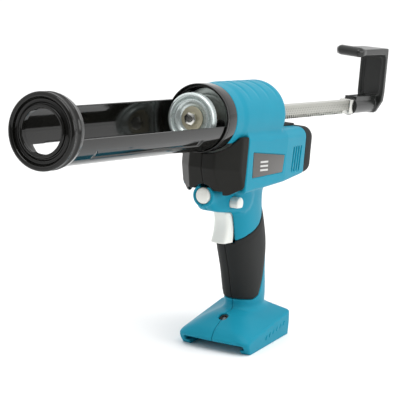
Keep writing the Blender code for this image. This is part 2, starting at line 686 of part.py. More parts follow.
def open_body(body):
    low_x, high_x = BARREL_X
    cut(body, box("case_window", (low_x - 1, -CASE_HALF_W - 0.4, -56.0), (42.0, CASE_HALF_W + 0.4, -8.0)),
        cylinder("rod_exit", (high_x - 6, 0, 0), 8.0, BUSH_R + 1.0 + GAP, ALONG_X, steps=20),
        cylinder("dial_bore", (BOSS_X[0] - 1, 0, DIAL_Z), 14.0, DIAL_R + RUN + 0.2, ALONG_X, steps=20),
        cylinder("button_bore", (BUTTON_X, -24.0, BUTTON_Z), 48.0, BUTTON_R + RUN + 0.1, ALONG_Y, steps=20),
        box("trigger_mouth", *MOUTH))
    for i, x in enumerate(VENT_X):
        for side in (-1, 1):
            wall = box(f"vent_{i}_{side}", (x - 1.2, -6.0, VENT_Z[0]), (x + 1.2, 6.0, VENT_Z[1]))
            wall.location = Vector((0, 28.0 * side, 0)) * MM
            cut(body, wall)
    cut(body, prism("label_recess", scaled(LABEL, 1.015), -32.0, -HOUSING[0][1] + 0.8))
    cut(body, box("strip_seat", (STRIP_X[0] - GAP, -STRIP_HALF_W - GAP, STRIP_Z[0] - GAP),
                  (STRIP_X[1], STRIP_HALF_W + GAP, -5.0)))


def slot_cutters():
    x0, x1 = 20.0, 100.0
    throat = box("rail_throat", (x0, -RAIL_HALF_W, -1), (x1, RAIL_HALF_W, RAIL_SLOT_Z + 1), parent=STAND)
    slot = box("battery_slot", (x0, -SLOT_HALF_W, RAIL_SLOT_Z), (x1, SLOT_HALF_W, SLOT_TOP_Z), parent=STAND)
    well = box("terminal_well", (62.0, -13.3, SLOT_TOP_Z - 1), (97.3, 13.3, SLOT_TOP_Z + 4), parent=STAND)
    return throat, slot, well


def lamp_frame(along=0.0):
    """Point on the foot's front slope, and the turn that faces out of it."""
    lean = math.radians(-35.0)
    x, z = LAMP_XZ
    return (x + along * math.sin(lean), 0, z + along * math.cos(lean)), (0, lean, 0)


def foot_details(body):
    cut(body, *slot_cutters())
    at, turn = lamp_frame(-5.0)
    cut(body, cylinder("lamp_bore", at, 12.0, 4.0 + GAP, turn, steps=24, parent=STAND))
    at, turn = lamp_frame(-3.0)
    bezel = cylinder("lamp_bezel", at, 3.4, 4.0, turn, "black_plastic", 24, STAND)
    at, turn = lamp_frame(-2.0)
    cut(bezel, cylinder("bezel_bore", at, 6.0, 2.6, turn, steps=24, parent=STAND))
    at, turn = lamp_frame(-1.6)
    cylinder("lamp_lens", at, 1.2, 2.3, turn, "white", 20, STAND)
    box("terminal_block", (62.4, -13.0, SLOT_TOP_Z - 0.6), (97.0, 13.0, SLOT_TOP_Z + 6.0), "black_plastic",
        parent=STAND)
    for name, y in (("terminal_plus", -8.0), ("terminal_minus", 8.0)):
        box(name, (68.0, y - 1.0, RAIL_SLOT_Z), (90.0, y + 1.0, SLOT_TOP_Z - 0.9), "copper", parent=STAND)


def scaled(outline, factor):
    """The outline grown or shrunk about its middle."""
    cx = sum(x for x, _ in outline) / len(outline)
    cz = sum(z for _, z in outline) / len(outline)
    return [(cx + (x - cx) * factor, cz + (z - cz) * factor) for x, z in outline]


def inset(outline, distance):
    """The outline with its sides moved inwards by that distance."""
    points = [Vector(point) for point in outline]
    area = sum(a.x * b.y - b.x * a.y for a, b in zip(points, points[1:] + points[:1]))
    moved = []
    for i, here in enumerate(points):
        before = (here - points[i - 1]).normalized()
        after = (points[(i + 1) % len(points)] - here).normalized()
        into = (before + after).orthogonal().normalized() * math.copysign(1.0, area)
        moved.append(tuple(here + into * distance / max(into.dot(after.orthogonal()), into.dot(-after.orthogonal()))))
    return moved


def grip_pads(body):
    """Rubber pads let into the handle: one on each side and one down the back."""
    for name, outline, sides in (("side", PAD_SIDE, ((-1, "grip_pad_left"), (1, "grip_pad_right"))),
                                 ("rear", PAD_REAR, ((0, "grip_pad_rear"),))):
        recess = handle_loft(f"{name}_recess", -3.0)
        cut(recess, handle_loft(f"{name}_core", PAD_DEPTH))
        keep(recess, prism(f"{name}_region", outline, -40.0, 40.0))
        cut(body, recess)
        for side, pad_name in sides:
            pad = copy_of(handle_loft(f"{pad_name}_outside", 0.0), pad_name, "rubber")
            cut(pad, handle_loft(f"{pad_name}_inside", PAD_DEPTH - GAP))
            low = 0.15 if side > 0 else -40.0
            high = -0.15 if side < 0 else 40.0
            keep(pad, prism(f"{pad_name}_region", inset(outline, GAP), low, high))
            if side:
                cut(pad, box(f"{pad_name}_mouth", *MOUTH))


def shell_screws(body):
    for i, (x, z, reach) in enumerate(SHELL_SCREWS, 1):
        join(body, cylinder(f"screw_boss_{i}", (x, -reach, z), 2 * reach, 4.2, ALONG_Y, steps=10))
        cut(body, cylinder(f"screw_hole_{i}", (x, 2.0 - reach, z), 40.0, 1.8, ALONG_Y, steps=12),
            cylinder(f"screw_sink_{i}", (x, reach - 4.0, z), 12.0, 3.4, ALONG_Y, steps=16))
        at = (x, 0, z)
        head = [(0, reach - 1.4), (3.0, reach - 1.4), (3.0, reach - 3.7), (1.5, reach - 3.7),
                (1.5, 2.6 - reach), (0, 2.6 - reach)]
        turned(f"shell_screw_{i}", head, "steel", at, ALONG_Y, steps=16)


def split(body, left_name, right_name, look):
    for name, low, high in ((left_name, -60.0, -0.15), (right_name, 0.15, 60.0)):
        half = copy_of(body, name, look)
        keep(half, box(f"{name}_side", (-40.0, low, -260.0), (220.0, high, 60.0)))
        half.modifiers[-1].solver = "MANIFOLD"


def body_shells():
    body = body_solid()
    open_body(body)
    foot_details(body)
    grip_pads(body)
    shell_screws(body)
    split(body, "body_shell_left", "body_shell_right", "teal")
    y = -HOUSING[0][1]
    prism("label_plate", LABEL, y + 0.05, y + 0.5, look="black_plastic")


def cover_ring(z, lean, inset):
    right = []
    for i, (x, y) in enumerate(COVER_PLAN):
        forward = i / (len(COVER_PLAN) - 1)
        grow = 3.0 if inset and i == 0 else 0.0
        right.append((x + lean * forward + inset * forward + grow, y - inset, z))
    left = [(x, -y, z) for x, y, z in reversed(right)]
    return right + left


def gear_covers():
    cover = loft("cover_whole", [cover_ring(z, lean, 0.0) for z, lean in COVER_LEVELS])
    levels = ((COVER_LEVELS[0][0] + 1, 0.0), COVER_LEVELS[1], (COVER_LEVELS[2][0] + WALL, 9.0))
    inside = loft("cover_inside", [cover_ring(z, lean, WALL) for z, lean in levels])
    boss = cylinder("boss_clearance", (0, 0, DIAL_Z), 60.0, BOSS_R + GAP, ALONG_X, steps=20)
    barrel = cylinder("barrel_clearance", (-5, 0, 0), 60.0, BARREL_R + GAP, ALONG_X, steps=ROUND_STEPS)
    cut(cover, inside, boss, barrel, box("bridge_clearance", (10, -30, -80), (60, 30, BRIDGE[0][2] + 0.7)))
    split(cover, "gear_cover_left", "gear_cover_right", "rubber")


def rear_bumper():
    bumper = rounded_loft("rear_bumper", BUMPER, 0.0)
    finish_as_part(bumper, "rubber")
    strip = box("bumper_strip", (STRIP_X[0], -STRIP_HALF_W, STRIP_Z[0]), (STRIP_X[1], STRIP_HALF_W, STRIP_Z[1]))
    join(bumper, strip)
    cut(bumper, rounded_loft("bumper_inside", BUMPER[:2], 4.0, (-2.0, 0.0)))


def finish_as_part(obj, look):
    CUTTERS.objects.unlink(obj)
    obj.hide_render = False
    obj.display_type = "TEXTURED"
    finish_object(obj, look)


# --- Controls -----------------------------------------------------------------------------------
def controls():
    outline = [(TRIGGER_X + x, z) for x, z in TRIGGER_OUTLINE]
    blade = prism("trigger", outline, -7.5, 7.5, "Y", "white")
    edges = blade.modifiers.new("edges", "BEVEL")
    edges.width = 1.5 * MM
    edges.segments = 2
    join(blade, cylinder("trigger_plunger", (TRIGGER_X + 14.0, 0, TRIGGER_PIN_Z), 16.5, 2.0, ALONG_X))
    spring_coil()
    switch = box("switch_module", (SWITCH_X[0], -8.0, -102.0), (SWITCH_X[1], 8.0, -82.0), "black_plastic")
    cut(switch, cylinder("plunger_bore", (SWITCH_X[0] - 1, 0, TRIGGER_PIN_Z), 17.0, 4.4, ALONG_X))
    button = [(0, 17.0), (BUTTON_R - 1.2, 17.0), (BUTTON_R, 15.8), (BUTTON_R, -19.8), (BUTTON_R - 1.2, -21.0),
              (0, -21.0)]
    turned("lock_off_button", button, "white", (BUTTON_X, 0, BUTTON_Z), ALONG_Y, steps=20)
    x0 = BOSS_X[0]
    dome = [(0, x0 + 12.0), (DIAL_R, x0 + 12.0), (DIAL_R, x0 + 0.4), (DIAL_R - 1.6, x0 - 0.9), (3.0, x0 - 1.7),
            (0, x0 - 1.9)]
    turned("speed_dial", dome, "white", (0, 0, DIAL_Z), steps=20)
    board = box("control_board", (101.0, -0.8, -150.0), (121.0, 0.8, -112.0), "board")
    for i, z in enumerate((-145.0, -135.0, -124.0)):
        join(board, box(f"board_chip_{i}", (104.0, -4.0, z), (115.0, -0.4, z + 6.0)))


def spring_coil():
    """The trigger's return spring, round its plunger."""
    turns, radius, per_turn = 4, 3.2, 8
    curve = bpy.data.curves.new("trigger_spring", "CURVE")
    curve.dimensions = "3D"
    spline = curve.splines.new("POLY")
    count = turns * per_turn + 1
    spline.points.add(count - 1)
    for i, point in enumerate(spline.points):
        angle = 2 * math.pi * i / per_turn
        x = TRIGGER_X + 17.6 + 5.2 * i / (count - 1)
        point.co = (x * MM, radius * math.cos(angle) * MM, radius * math.sin(angle) * MM, 1)
    curve.bevel_depth = 0.4 * MM
    curve.bevel_resolution = 1
    curve.use_fill_caps = True
    coil = bpy.data.objects.new("trigger_spring_path", curve)
    coil.location = Vector((0, 0, TRIGGER_PIN_Z)) * MM
    coil.parent = GUN
    CUTTERS.objects.link(coil)
    bpy.context.view_layer.update()
    spring = copy_of(coil, "trigger_spring", "steel")
    bm = bmesh.new()
    bm.from_mesh(spring.data)
    bmesh.ops.remove_doubles(bm, verts=bm.verts, dist=0.00001)
    bmesh.ops.recalc_face_normals(bm, faces=bm.faces)
    bm.to_mesh(spring.data)
    bm.free()
    bpy.data.objects.remove(coil)


def build():
    nose_ring()
    holder_trough()
    collar_ring()
    front_plate()
    rod_bushes()
    push_rod()
    pull_handle()
    drive_train()
    gear_case()
    gearbox_and_motor()
    body_shells()
    gear_covers()
    rear_bumper()
    controls()


build()
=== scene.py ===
"""Looks of a cordless caulking gun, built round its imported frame.

Shapes are drawn in millimetres in one of two spaces. The gun space has its origin at the collar's front
face on the barrel axis, x backwards along the barrel, y to the user's right and z up. The standing space
has the same y, with z up from the floor. Moulded parts are distance fields whose surface is skinned with
quads, turned parts are profiles spun about the barrel axis, and what repeats comes from Geometry Nodes.
"""
import json
import logging
import math
from dataclasses import dataclass, field
from enum import Enum
from typing import Callable, Sequence

import bmesh
import bpy
import numpy as np
from mathutils import Matrix, Vector


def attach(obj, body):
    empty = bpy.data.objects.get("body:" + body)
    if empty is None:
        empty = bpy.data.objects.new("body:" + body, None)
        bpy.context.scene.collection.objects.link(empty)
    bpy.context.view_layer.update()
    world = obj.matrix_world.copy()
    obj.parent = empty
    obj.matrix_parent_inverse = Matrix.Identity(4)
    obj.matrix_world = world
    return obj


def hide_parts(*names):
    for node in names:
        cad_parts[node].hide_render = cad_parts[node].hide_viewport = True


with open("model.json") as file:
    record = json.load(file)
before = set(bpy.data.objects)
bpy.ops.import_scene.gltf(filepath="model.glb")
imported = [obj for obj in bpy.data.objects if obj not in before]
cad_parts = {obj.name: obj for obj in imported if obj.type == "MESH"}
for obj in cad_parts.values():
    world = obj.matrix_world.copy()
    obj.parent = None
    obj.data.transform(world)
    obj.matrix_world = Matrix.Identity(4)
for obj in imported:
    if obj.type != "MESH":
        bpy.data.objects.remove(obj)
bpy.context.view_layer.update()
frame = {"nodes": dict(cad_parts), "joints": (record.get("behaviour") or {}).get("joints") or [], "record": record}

LOG = logging.getLogger("caulking_gun")
MM = 0.001
CUT_LEAN = 40.0  # degrees that the crossed cuts on the rod lean each way
CUT_SHADE_FADE = (2.0, 4.5)  # mm above the barrel axis, where the painted shade in those cuts starts and finishes fading, which leaves the rod's top lighter
Array = np.ndarray
Shape = Callable[[Array, Array, Array], Array]
Point = tuple[float, float]


# --- Spaces -------------------------------------------------------------------------------------
def joint_named(name: str) -> dict:
    """The frame's joint of that name."""
    return next(joint for joint in frame["joints"] if joint["name"] == name)


HOLDER_AXIS = Vector(joint_named("holder_turn")["axis"])
HOLDER_POINT = Vector(joint_named("holder_turn")["pos_m"]) / MM
HOLDER_POINT_X = 8.0  # where that point lies on the barrel axis, behind the collar's front face
TILT = math.atan2(-HOLDER_AXIS.z, HOLDER_AXIS.x)
ORIGIN = HOLDER_POINT - HOLDER_AXIS * HOLDER_POINT_X


class Space(Enum):
    """The two spaces that shapes are drawn in."""

    GUN = "gun"
    STANDING = "standing"

    def matrix(self) -> Matrix:
        """Millimetres in this space to metres in the frame."""
        if self is Space.GUN:
            placed = Matrix.Translation(ORIGIN) @ Matrix.Rotation(TILT, 4, "Y")
        else:
            placed = Matrix.Translation((ORIGIN.x, 0, 0))
        return Matrix.Scale(MM, 4) @ placed


def standing(x: Array, z: Array) -> tuple[Array, Array]:
    """Gun space x and z as standing space x and height."""
    c, s = math.cos(TILT), math.sin(TILT)
    return x * c + z * s, z * c - x * s + ORIGIN.z


# --- Finishes -----------------------------------------------------------------------------------
class Marks(Enum):
    """The direction that a finish's fine marks run in."""

    EVEN = (1.0, 1.0, 1.0)
    ALONG = (0.06, 1.0, 1.0)
    ACROSS = (1.0, 0.06, 0.06)


@dataclass(frozen=True)
class Finish:
    """A surface finish, built as a procedural material.

    Args:
        name: The material's name.
        slot: The record's material slot that it belongs to. Not used.
        colour: Linear colour of the surface.
        shade: Linear colour that it drifts to over broad patches.
        rough: Lowest and highest roughness.
        grain: Size of the fine grain in millimetres.
        relief: Height of the fine grain in millimetres.
        metallic: 1 for bare metal.
        coat: Weight of a clear coat.
        gloss: Weight of the plain surface reflection, 0.5 for most plastics.
        marks: The way that the grain is drawn out.
        rings: Depth in millimetres of lathe rings round the barrel axis, or 0.
        shade_hatch: Spacing in millimetres of crossed cuts along the sides of the push rod, painted darker in the
            base colour as shade in their grooves, or 0.
    """

    name: str
    slot: str
    colour: tuple[float, float, float]
    shade: tuple[float, float, float]
    rough: tuple[float, float]
    grain: float = 0.5
    relief: float = 0.02
    metallic: float = 0.0
    coat: float = 0.0
    gloss: float = 0.5
    marks: Marks = Marks.EVEN
    rings: float = 0.0
    shade_hatch: float = 0.0

    def material(self) -> bpy.types.Material:
        """The material, made once for each name."""
        made = bpy.data.materials.get(self.name)
        if made is None:
            made = bpy.data.materials.new(self.name)
            made.use_nodes = True
            self._wire(made.node_tree)
        return made

    def _wire(self, tree: bpy.types.NodeTree) -> None:
        """Joins grain, patches and rings to the shader."""
        nodes, links = tree.nodes, tree.links
        shader = nodes["Principled BSDF"]
        shader.inputs["Metallic"].default_value = self.metallic
        shader.inputs["Coat Weight"].default_value = self.coat
        shader.inputs["Coat Roughness"].default_value = 0.04
        shader.inputs["Specular IOR Level"].default_value = self.gloss
        place = nodes.new("ShaderNodeTexCoord")
        turn = nodes.new("ShaderNodeMapping")
        turn.vector_type = "TEXTURE"
        turn.inputs["Location"].default_value = ORIGIN * MM
        turn.inputs["Rotation"].default_value = (0.0, TILT, 0.0)
        links.new(place.outputs["Object"], turn.inputs["Vector"])
        drawn = nodes.new("ShaderNodeMapping")
        drawn.inputs["Scale"].default_value = self.marks.value
        links.new(turn.outputs["Vector"], drawn.inputs["Vector"])

        patches = self._noise(tree, turn.outputs["Vector"], 1.0 / (22.0 * MM), 3.0)
        fine = self._noise(tree, drawn.outputs["Vector"], 1.0 / (self.grain * MM), 2.0)
        colour = nodes.new("ShaderNodeMix")
        colour.data_type = "RGBA"
        colour.inputs["A"].default_value = (*self.colour, 1.0)
        colour.inputs["B"].default_value = (*self.shade, 1.0)
        links.new(patches.outputs["Fac"], colour.inputs["Factor"])
        links.new(colour.outputs["Result"], shader.inputs["Base Color"])
        rough = nodes.new("ShaderNodeMapRange")
        rough.inputs["To Min"].default_value, rough.inputs["To Max"].default_value = self.rough
        links.new(fine.outputs["Fac"], rough.inputs["Value"])
        links.new(rough.outputs["Result"], shader.inputs["Roughness"])
        bump = self._bump(tree, fine.outputs["Fac"], self.relief)
        if self.rings:
            wave = nodes.new("ShaderNodeTexWave")
            wave.wave_type, wave.rings_direction = "RINGS", "X"
            wave.inputs["Scale"].default_value = 0.3 / MM
            wave.inputs["Distortion"].default_value = 0.6
            links.new(turn.outputs["Vector"], wave.inputs["Vector"])
            turned = self._bump(tree, wave.outputs["Fac"], self.rings)
            links.new(bump.outputs["Normal"], turned.inputs["Normal"])
            bump = turned
        if self.shade_hatch:
            # Painted shade: the crossed cuts darken the base colour to a fifth, as shade in their grooves, and
            # fade out towards the rod's top.
            cut = self._painted_cut_shade(tree, turn.outputs["Vector"])
            cut_shade_mix = nodes.new("ShaderNodeMix")
            cut_shade_mix.data_type = "RGBA"
            cut_shade_mix.inputs["B"].default_value = (*(0.22 * c for c in self.colour), 1.0)
            links.new(cut, cut_shade_mix.inputs["Factor"])
            links.new(colour.outputs["Result"], cut_shade_mix.inputs["A"])
            links.new(cut_shade_mix.outputs["Result"], shader.inputs["Base Color"])
        links.new(bump.outputs["Normal"], shader.inputs["Normal"])

    def _painted_cut_shade(self, tree: bpy.types.NodeTree, vector: bpy.types.NodeSocket) -> bpy.types.NodeSocket:
        """How deep in the crossed cuts each point is, which is painted into the colour as shade in their grooves.
        The painted shade fades out short of the rod's top, which keeps the top lighter.
        """
        nodes, links = tree.nodes, tree.links
        sides = []
        for lean in (CUT_LEAN, -CUT_LEAN):
            slant = nodes.new("ShaderNodeMapping")
            slant.inputs["Rotation"].default_value = (0.0, math.radians(lean), 0.0)
            wave = nodes.new("ShaderNodeTexWave")
            wave.wave_type, wave.bands_direction = "BANDS", "X"
            wave.inputs["Scale"].default_value = 0.31 / (self.shade_hatch * MM)
            links.new(vector, slant.inputs["Vector"])
            links.new(slant.outputs["Vector"], wave.inputs["Vector"])
            sides.append(wave.outputs["Fac"])
        crossed = nodes.new("ShaderNodeMath")
        crossed.operation = "MULTIPLY"
        links.new(sides[0], crossed.inputs[0])
        links.new(sides[1], crossed.inputs[1])
        parts = nodes.new("ShaderNodeSeparateXYZ")
        links.new(vector, parts.inputs["Vector"])
        fade = nodes.new("ShaderNodeMapRange")
        for label, value in (("From Min", CUT_SHADE_FADE[0] * MM), ("From Max", CUT_SHADE_FADE[1] * MM),
                             ("To Min", 1.0), ("To Max", 0.0)):
            fade.inputs[label].default_value = value
        links.new(parts.outputs["Z"], fade.inputs["Value"])
        kept = nodes.new("ShaderNodeMath")
        kept.operation = "MULTIPLY"
        links.new(crossed.outputs["Value"], kept.inputs[0])
        links.new(fade.outputs["Result"], kept.inputs[1])
        return kept.outputs["Value"]

    @staticmethod
    def _noise(tree: bpy.types.NodeTree, vector: bpy.types.NodeSocket, scale: float,
               detail: float) -> bpy.types.Node:
        """A noise texture on the vector."""
        noise = tree.nodes.new("ShaderNodeTexNoise")
        noise.inputs["Scale"].default_value = scale
        noise.inputs["Detail"].default_value = detail
        tree.links.new(vector, noise.inputs["Vector"])
        return noise

    @staticmethod
    def _bump(tree: bpy.types.NodeTree, height: bpy.types.NodeSocket, depth: float) -> bpy.types.Node:
        """A bump of that depth in millimetres."""
        bump = tree.nodes.new("ShaderNodeBump")
        bump.inputs["Strength"].default_value = 1.0
        bump.inputs["Distance"].default_value = depth * MM
        tree.links.new(height, bump.inputs["Height"])
        return bump


TEAL = Finish("teal_moulding", "teal_plastic", (0.012, 0.262, 0.375), (0.010, 0.235, 0.345),
              (0.34, 0.44), 0.45, 0.012, gloss=0.09)
BLACK_GLOSS = Finish("black_enamel", "black_paint", (0.004, 0.004, 0.0035), (0.006, 0.006, 0.005),
                     (0.07, 0.11), 3.5, 0.006, gloss=0.33)
RUBBER = Finish("grip_rubber", "rubber", (0.016, 0.017, 0.017), (0.022, 0.023, 0.022),
                (0.48, 0.62), 0.35, 0.03, gloss=0.12)
COVER_BLACK = Finish("cover_moulding", "rubber", (0.012, 0.012, 0.011), (0.016, 0.016, 0.014),
                     (0.36, 0.46), 0.4, 0.016, gloss=0.13)
HOOK_BLACK = Finish("hook_moulding", "black_plastic", (0.012, 0.013, 0.012), (0.018, 0.019, 0.018),
                    (0.24, 0.34), 0.6, 0.012, gloss=0.4)
DARK_PLASTIC = Finish("dark_plastic", "black_plastic", (0.020, 0.020, 0.019), (0.028, 0.028, 0.026),
                      (0.4, 0.5), 0.5, 0.015)
LABEL = Finish("label_film", "black_plastic", (0.065, 0.062, 0.058), (0.085, 0.08, 0.074),
               (0.3, 0.4), 0.6, 0.006)
LABEL_INK = Finish("label_ink", "white_plastic", (0.62, 0.62, 0.60), (0.5, 0.5, 0.49), (0.4, 0.5), 0.6, 0.004)
WHITE = Finish("white_moulding", "white_plastic", (0.80, 0.81, 0.77), (0.76, 0.77, 0.72),
               (0.30, 0.38), 0.5, 0.008)
LENS = Finish("lamp_lens", "white_plastic", (0.16, 0.18, 0.19), (0.12, 0.14, 0.15), (0.05, 0.12), 0.8, 0.004,
              coat=0.6)
YELLOW_ZINC = Finish("passivated_washer", "steel", (0.66, 0.64, 0.50), (0.50, 0.45, 0.30),
                     (0.3, 0.5), 1.3, 0.12, metallic=0.6)
# Painted shade: this steel's crossed cuts are drawn as darker lines in its base colour.
STEEL = Finish("milled_steel", "steel", (0.50, 0.50, 0.45), (0.42, 0.42, 0.38), (0.26, 0.4), 0.5, 0.012,
               metallic=0.85, marks=Marks.ALONG, shade_hatch=2.6)
BRIGHT_STEEL = Finish("bright_steel", "steel", (0.70, 0.70, 0.66), (0.6, 0.6, 0.57), (0.2, 0.3), 0.6, 0.008,
                      metallic=1.0)
ZINC = Finish("turned_zinc", "zinc", (0.72, 0.79, 0.78), (0.62, 0.70, 0.68), (0.22, 0.36), 0.8, 0.006,
              metallic=0.6, rings=0.012)
PLATE_ZINC = Finish("brushed_zinc", "zinc", (0.66, 0.72, 0.70), (0.5, 0.57, 0.53), (0.24, 0.38), 0.6, 0.01,
                    metallic=0.7, marks=Marks.ACROSS)
BRONZE = Finish("sintered_bronze", "brass", (0.5, 0.33, 0.12), (0.4, 0.26, 0.1), (0.35, 0.5), 0.3, 0.01,
                metallic=1.0)
COPPER = Finish("wound_copper", "copper", (0.6, 0.27, 0.13), (0.45, 0.2, 0.1), (0.25, 0.4), 0.5, 0.02,
                metallic=1.0, marks=Marks.ALONG)
BOARD = Finish("lacquered_board", "circuit_board", (0.01, 0.12, 0.05), (0.01, 0.09, 0.04), (0.3, 0.4))
SLOT_FINISHES = {
    "teal_plastic": TEAL, "black_paint": BLACK_GLOSS, "rubber": RUBBER, "black_plastic": DARK_PLASTIC,
    "white_plastic": WHITE, "steel": STEEL, "zinc": PLATE_ZINC, "brass": BRONZE, "copper": COPPER,
    "circuit_board": BOARD,
}


# --- Distances ----------------------------------------------------------------------------------
def joined(a: Array, b: Array, radius: float) -> Array:
    """Either shape, with a fillet of about that radius where they meet."""
    share = np.clip(0.5 + 0.5 * (b - a) / radius, 0.0, 1.0)
    return b + (a - b) * share - radius * share * (1.0 - share)


def shared(a: Array, b: Array, radius: float) -> Array:
    """What both shapes hold, with rounded edges."""
    return -joined(-a, -b, radius)


def without(a: Array, b: Array, radius: float) -> Array:
    """The first shape less the second, with rounded edges."""
    return -joined(-a, b, radius)


def block(x: Array, y: Array, z: Array, low: Sequence[float], high: Sequence[float]) -> Array:
    """Distance to a box."""
    d = np.maximum(low[0] - x, x - high[0])
    d = np.maximum(d, np.maximum(low[1] - y, y - high[1]))
    return np.maximum(d, np.maximum(low[2] - z, z - high[2]))


def outlined(u: Array, v: Array, points: Sequence[Point]) -> Array:
    """Distance to a closed flat outline, less than zero inside it."""
    nearest = np.full(np.broadcast(u, v).shape, 1e9)
    inside = np.zeros(nearest.shape, bool)
    for (au, av), (bu, bv) in zip(points, [*points[1:], points[0]]):
        eu, ev = bu - au, bv - av
        along = np.clip(((u - au) * eu + (v - av) * ev) / (eu * eu + ev * ev), 0.0, 1.0)
        nearest = np.minimum(nearest, (u - au - eu * along) ** 2 + (v - av - ev * along) ** 2)
        above, below = v >= av, v < bv
        left = eu * (v - av) > ev * (u - au)
        inside ^= (above & below & left) | (~above & ~below & ~left)
    return np.where(inside, -1.0, 1.0) * np.sqrt(nearest)


def softened(points: Sequence[Point], rounds: int = 2, keep: float = 0.22) -> list[Point]:
    """The outline with its corners cut again and again, which leaves them round."""
    for _ in range(rounds):
        cut = []
        for (au, av), (bu, bv) in zip(points, [*points[1:], points[0]]):
            cut.append((au + (bu - au) * keep, av + (bv - av) * keep))
            cut.append((bu - (bu - au) * keep, bv - (bv - av) * keep))
        points = cut
    return list(points)


def oval(u: Array, v: Array, half_u: Array, half_v: Array, power: float) -> Array:
    """Distance to an oval with flattened sides."""
    u, v = np.abs(u), np.abs(v)
    ratio = np.maximum(((u / half_u) ** power + (v / half_v) ** power) ** (1 / power), 0.05)
    steep = np.hypot(u ** (power - 1) / half_u**power, v ** (power - 1) / half_v**power)
    return (ratio - 1.0) / np.maximum(steep * ratio ** (1 - power), 0.012)


def rounded_box(u: Array, v: Array, half_u: Array, half_v: Array, radius: Array | float) -> Array:
    """Distance to a rectangle with round corners."""
    qu, qv = np.abs(u) - half_u + radius, np.abs(v) - half_v + radius
    return np.hypot(np.maximum(qu, 0), np.maximum(qv, 0)) + np.minimum(np.maximum(qu, qv), 0) - radius


def along_run(t: Array, stations: Sequence[float], values: Sequence[float]) -> Array:
    """A smooth curve through the values at those stations."""
    stations, values = np.array(stations, float), np.array(values, float)
    slopes = np.gradient(values, stations)
    i = np.clip(np.searchsorted(stations, t) - 1, 0, len(stations) - 2)
    span = stations[i + 1] - stations[i]
    s = np.clip((t - stations[i]) / span, 0.0, 1.0)
    a, b = values[i], values[i + 1]
    rise = b - a
    first, last = slopes[i] * span, slopes[i + 1] * span
    return a + s * (first + s * (3 * rise - 2 * first - last + s * (first + last - 2 * rise)))


# --- Skins --------------------------------------------------------------------------------------
@dataclass(frozen=True)
class Lattice:
    """The box of points that a distance is sampled on, and the spacing between them."""

    low: tuple[float, float, float]
    high: tuple[float, float, float]
    step: float

    def axes(self) -> list[Array]:
        """The three coordinates, each shaped to spread over the others."""
        runs = [np.arange(lo, hi + self.step, self.step) for lo, hi in zip(self.low, self.high)]
        return list(np.meshgrid(*runs, indexing="ij", sparse=True))


def skinned(shape: Shape, lattice: Lattice) -> tuple[Array, Array]:
    """Points and quads of the surface where a distance is zero.

    Args:
        shape: The distance from points to the surface, less than zero inside.
        lattice: Where it is sampled.

    Returns:
        The points in millimetres, and four point numbers a quad.
    """
    axes = lattice.axes()
    size = [axis.size for axis in axes]
    d = np.broadcast_to(shape(*axes), size)
    inside = d < 0
    cells = [n - 1 for n in size]
    corners = [(i, j, k) for i in (0, 1) for j in (0, 1) for k in (0, 1)]
    filled = sum(inside[i:i + cells[0], j:j + cells[1], k:k + cells[2]].astype(np.int8)
                 for i, j, k in corners)
    mixed = (filled > 0) & (filled < 8)
    number = np.full(cells, -1, np.int64)
    number[mixed] = np.arange(mixed.sum())
    cell = np.stack(np.nonzero(mixed), 1)
    total, met = np.zeros((len(cell), 3)), np.zeros(len(cell))
    for axis in range(3):
        for corner in corners:
            if corner[axis]:
                continue
            here = cell + corner
            there = here.copy()
            there[:, axis] += 1
            a, b = d[tuple(here.T)], d[tuple(there.T)]
            crossed = (a < 0) != (b < 0)
            point = here[crossed].astype(float)
            point[:, axis] += a[crossed] / (a[crossed] - b[crossed])
            total[crossed] += point
            met[crossed] += 1
    points = np.array(lattice.low) + lattice.step * total / met[:, None]
    return settled(points, shape, lattice.step), _quads(inside, number)


def _quads(inside: Array, number: Array) -> Array:
    """A quad round each lattice edge that passes through the surface."""
    quads = []
    for axis in range(3):
        u, v = (axis + 1) % 3, (axis + 2) % 3
        low = [slice(None)] * 3
        high = [slice(None)] * 3
        low[axis], high[axis] = slice(0, -1), slice(1, None)
        for other in (u, v):
            low[other] = high[other] = slice(1, -1)
        first, second = inside[tuple(low)], inside[tuple(high)]
        for crossed, outward in ((first & ~second, True), (~first & second, False)):
            at = np.stack(np.nonzero(crossed), 1)
            at[:, u] += 1
            at[:, v] += 1
            ring = []
            for du, dv in ((-1, -1), (0, -1), (0, 0), (-1, 0)):
                cell = at.copy()
                cell[:, u] += du
                cell[:, v] += dv
                ring.append(number[tuple(cell.T)])
            quads.append(np.stack(ring if outward else ring[::-1], 1))
    return np.concatenate(quads)


def settled(points: Array, shape: Shape, step: float) -> Array:
    """The points moved along the distance's slope until they lie on the surface."""
    reach = 0.12 * step
    start = points.copy()
    for _ in range(3):
        x, y, z = points.T
        d = shape(x, y, z)
        slope = np.stack([
            shape(x + reach, y, z) - shape(x - reach, y, z),
            shape(x, y + reach, z) - shape(x, y - reach, z),
            shape(x, y, z + reach) - shape(x, y, z - reach),
        ], 1) / (2 * reach)
        length = np.maximum((slope**2).sum(1), 0.2)
        points = points - slope * (d / length)[:, None]
    return start + np.clip(points - start, -0.45 * step, 0.45 * step)


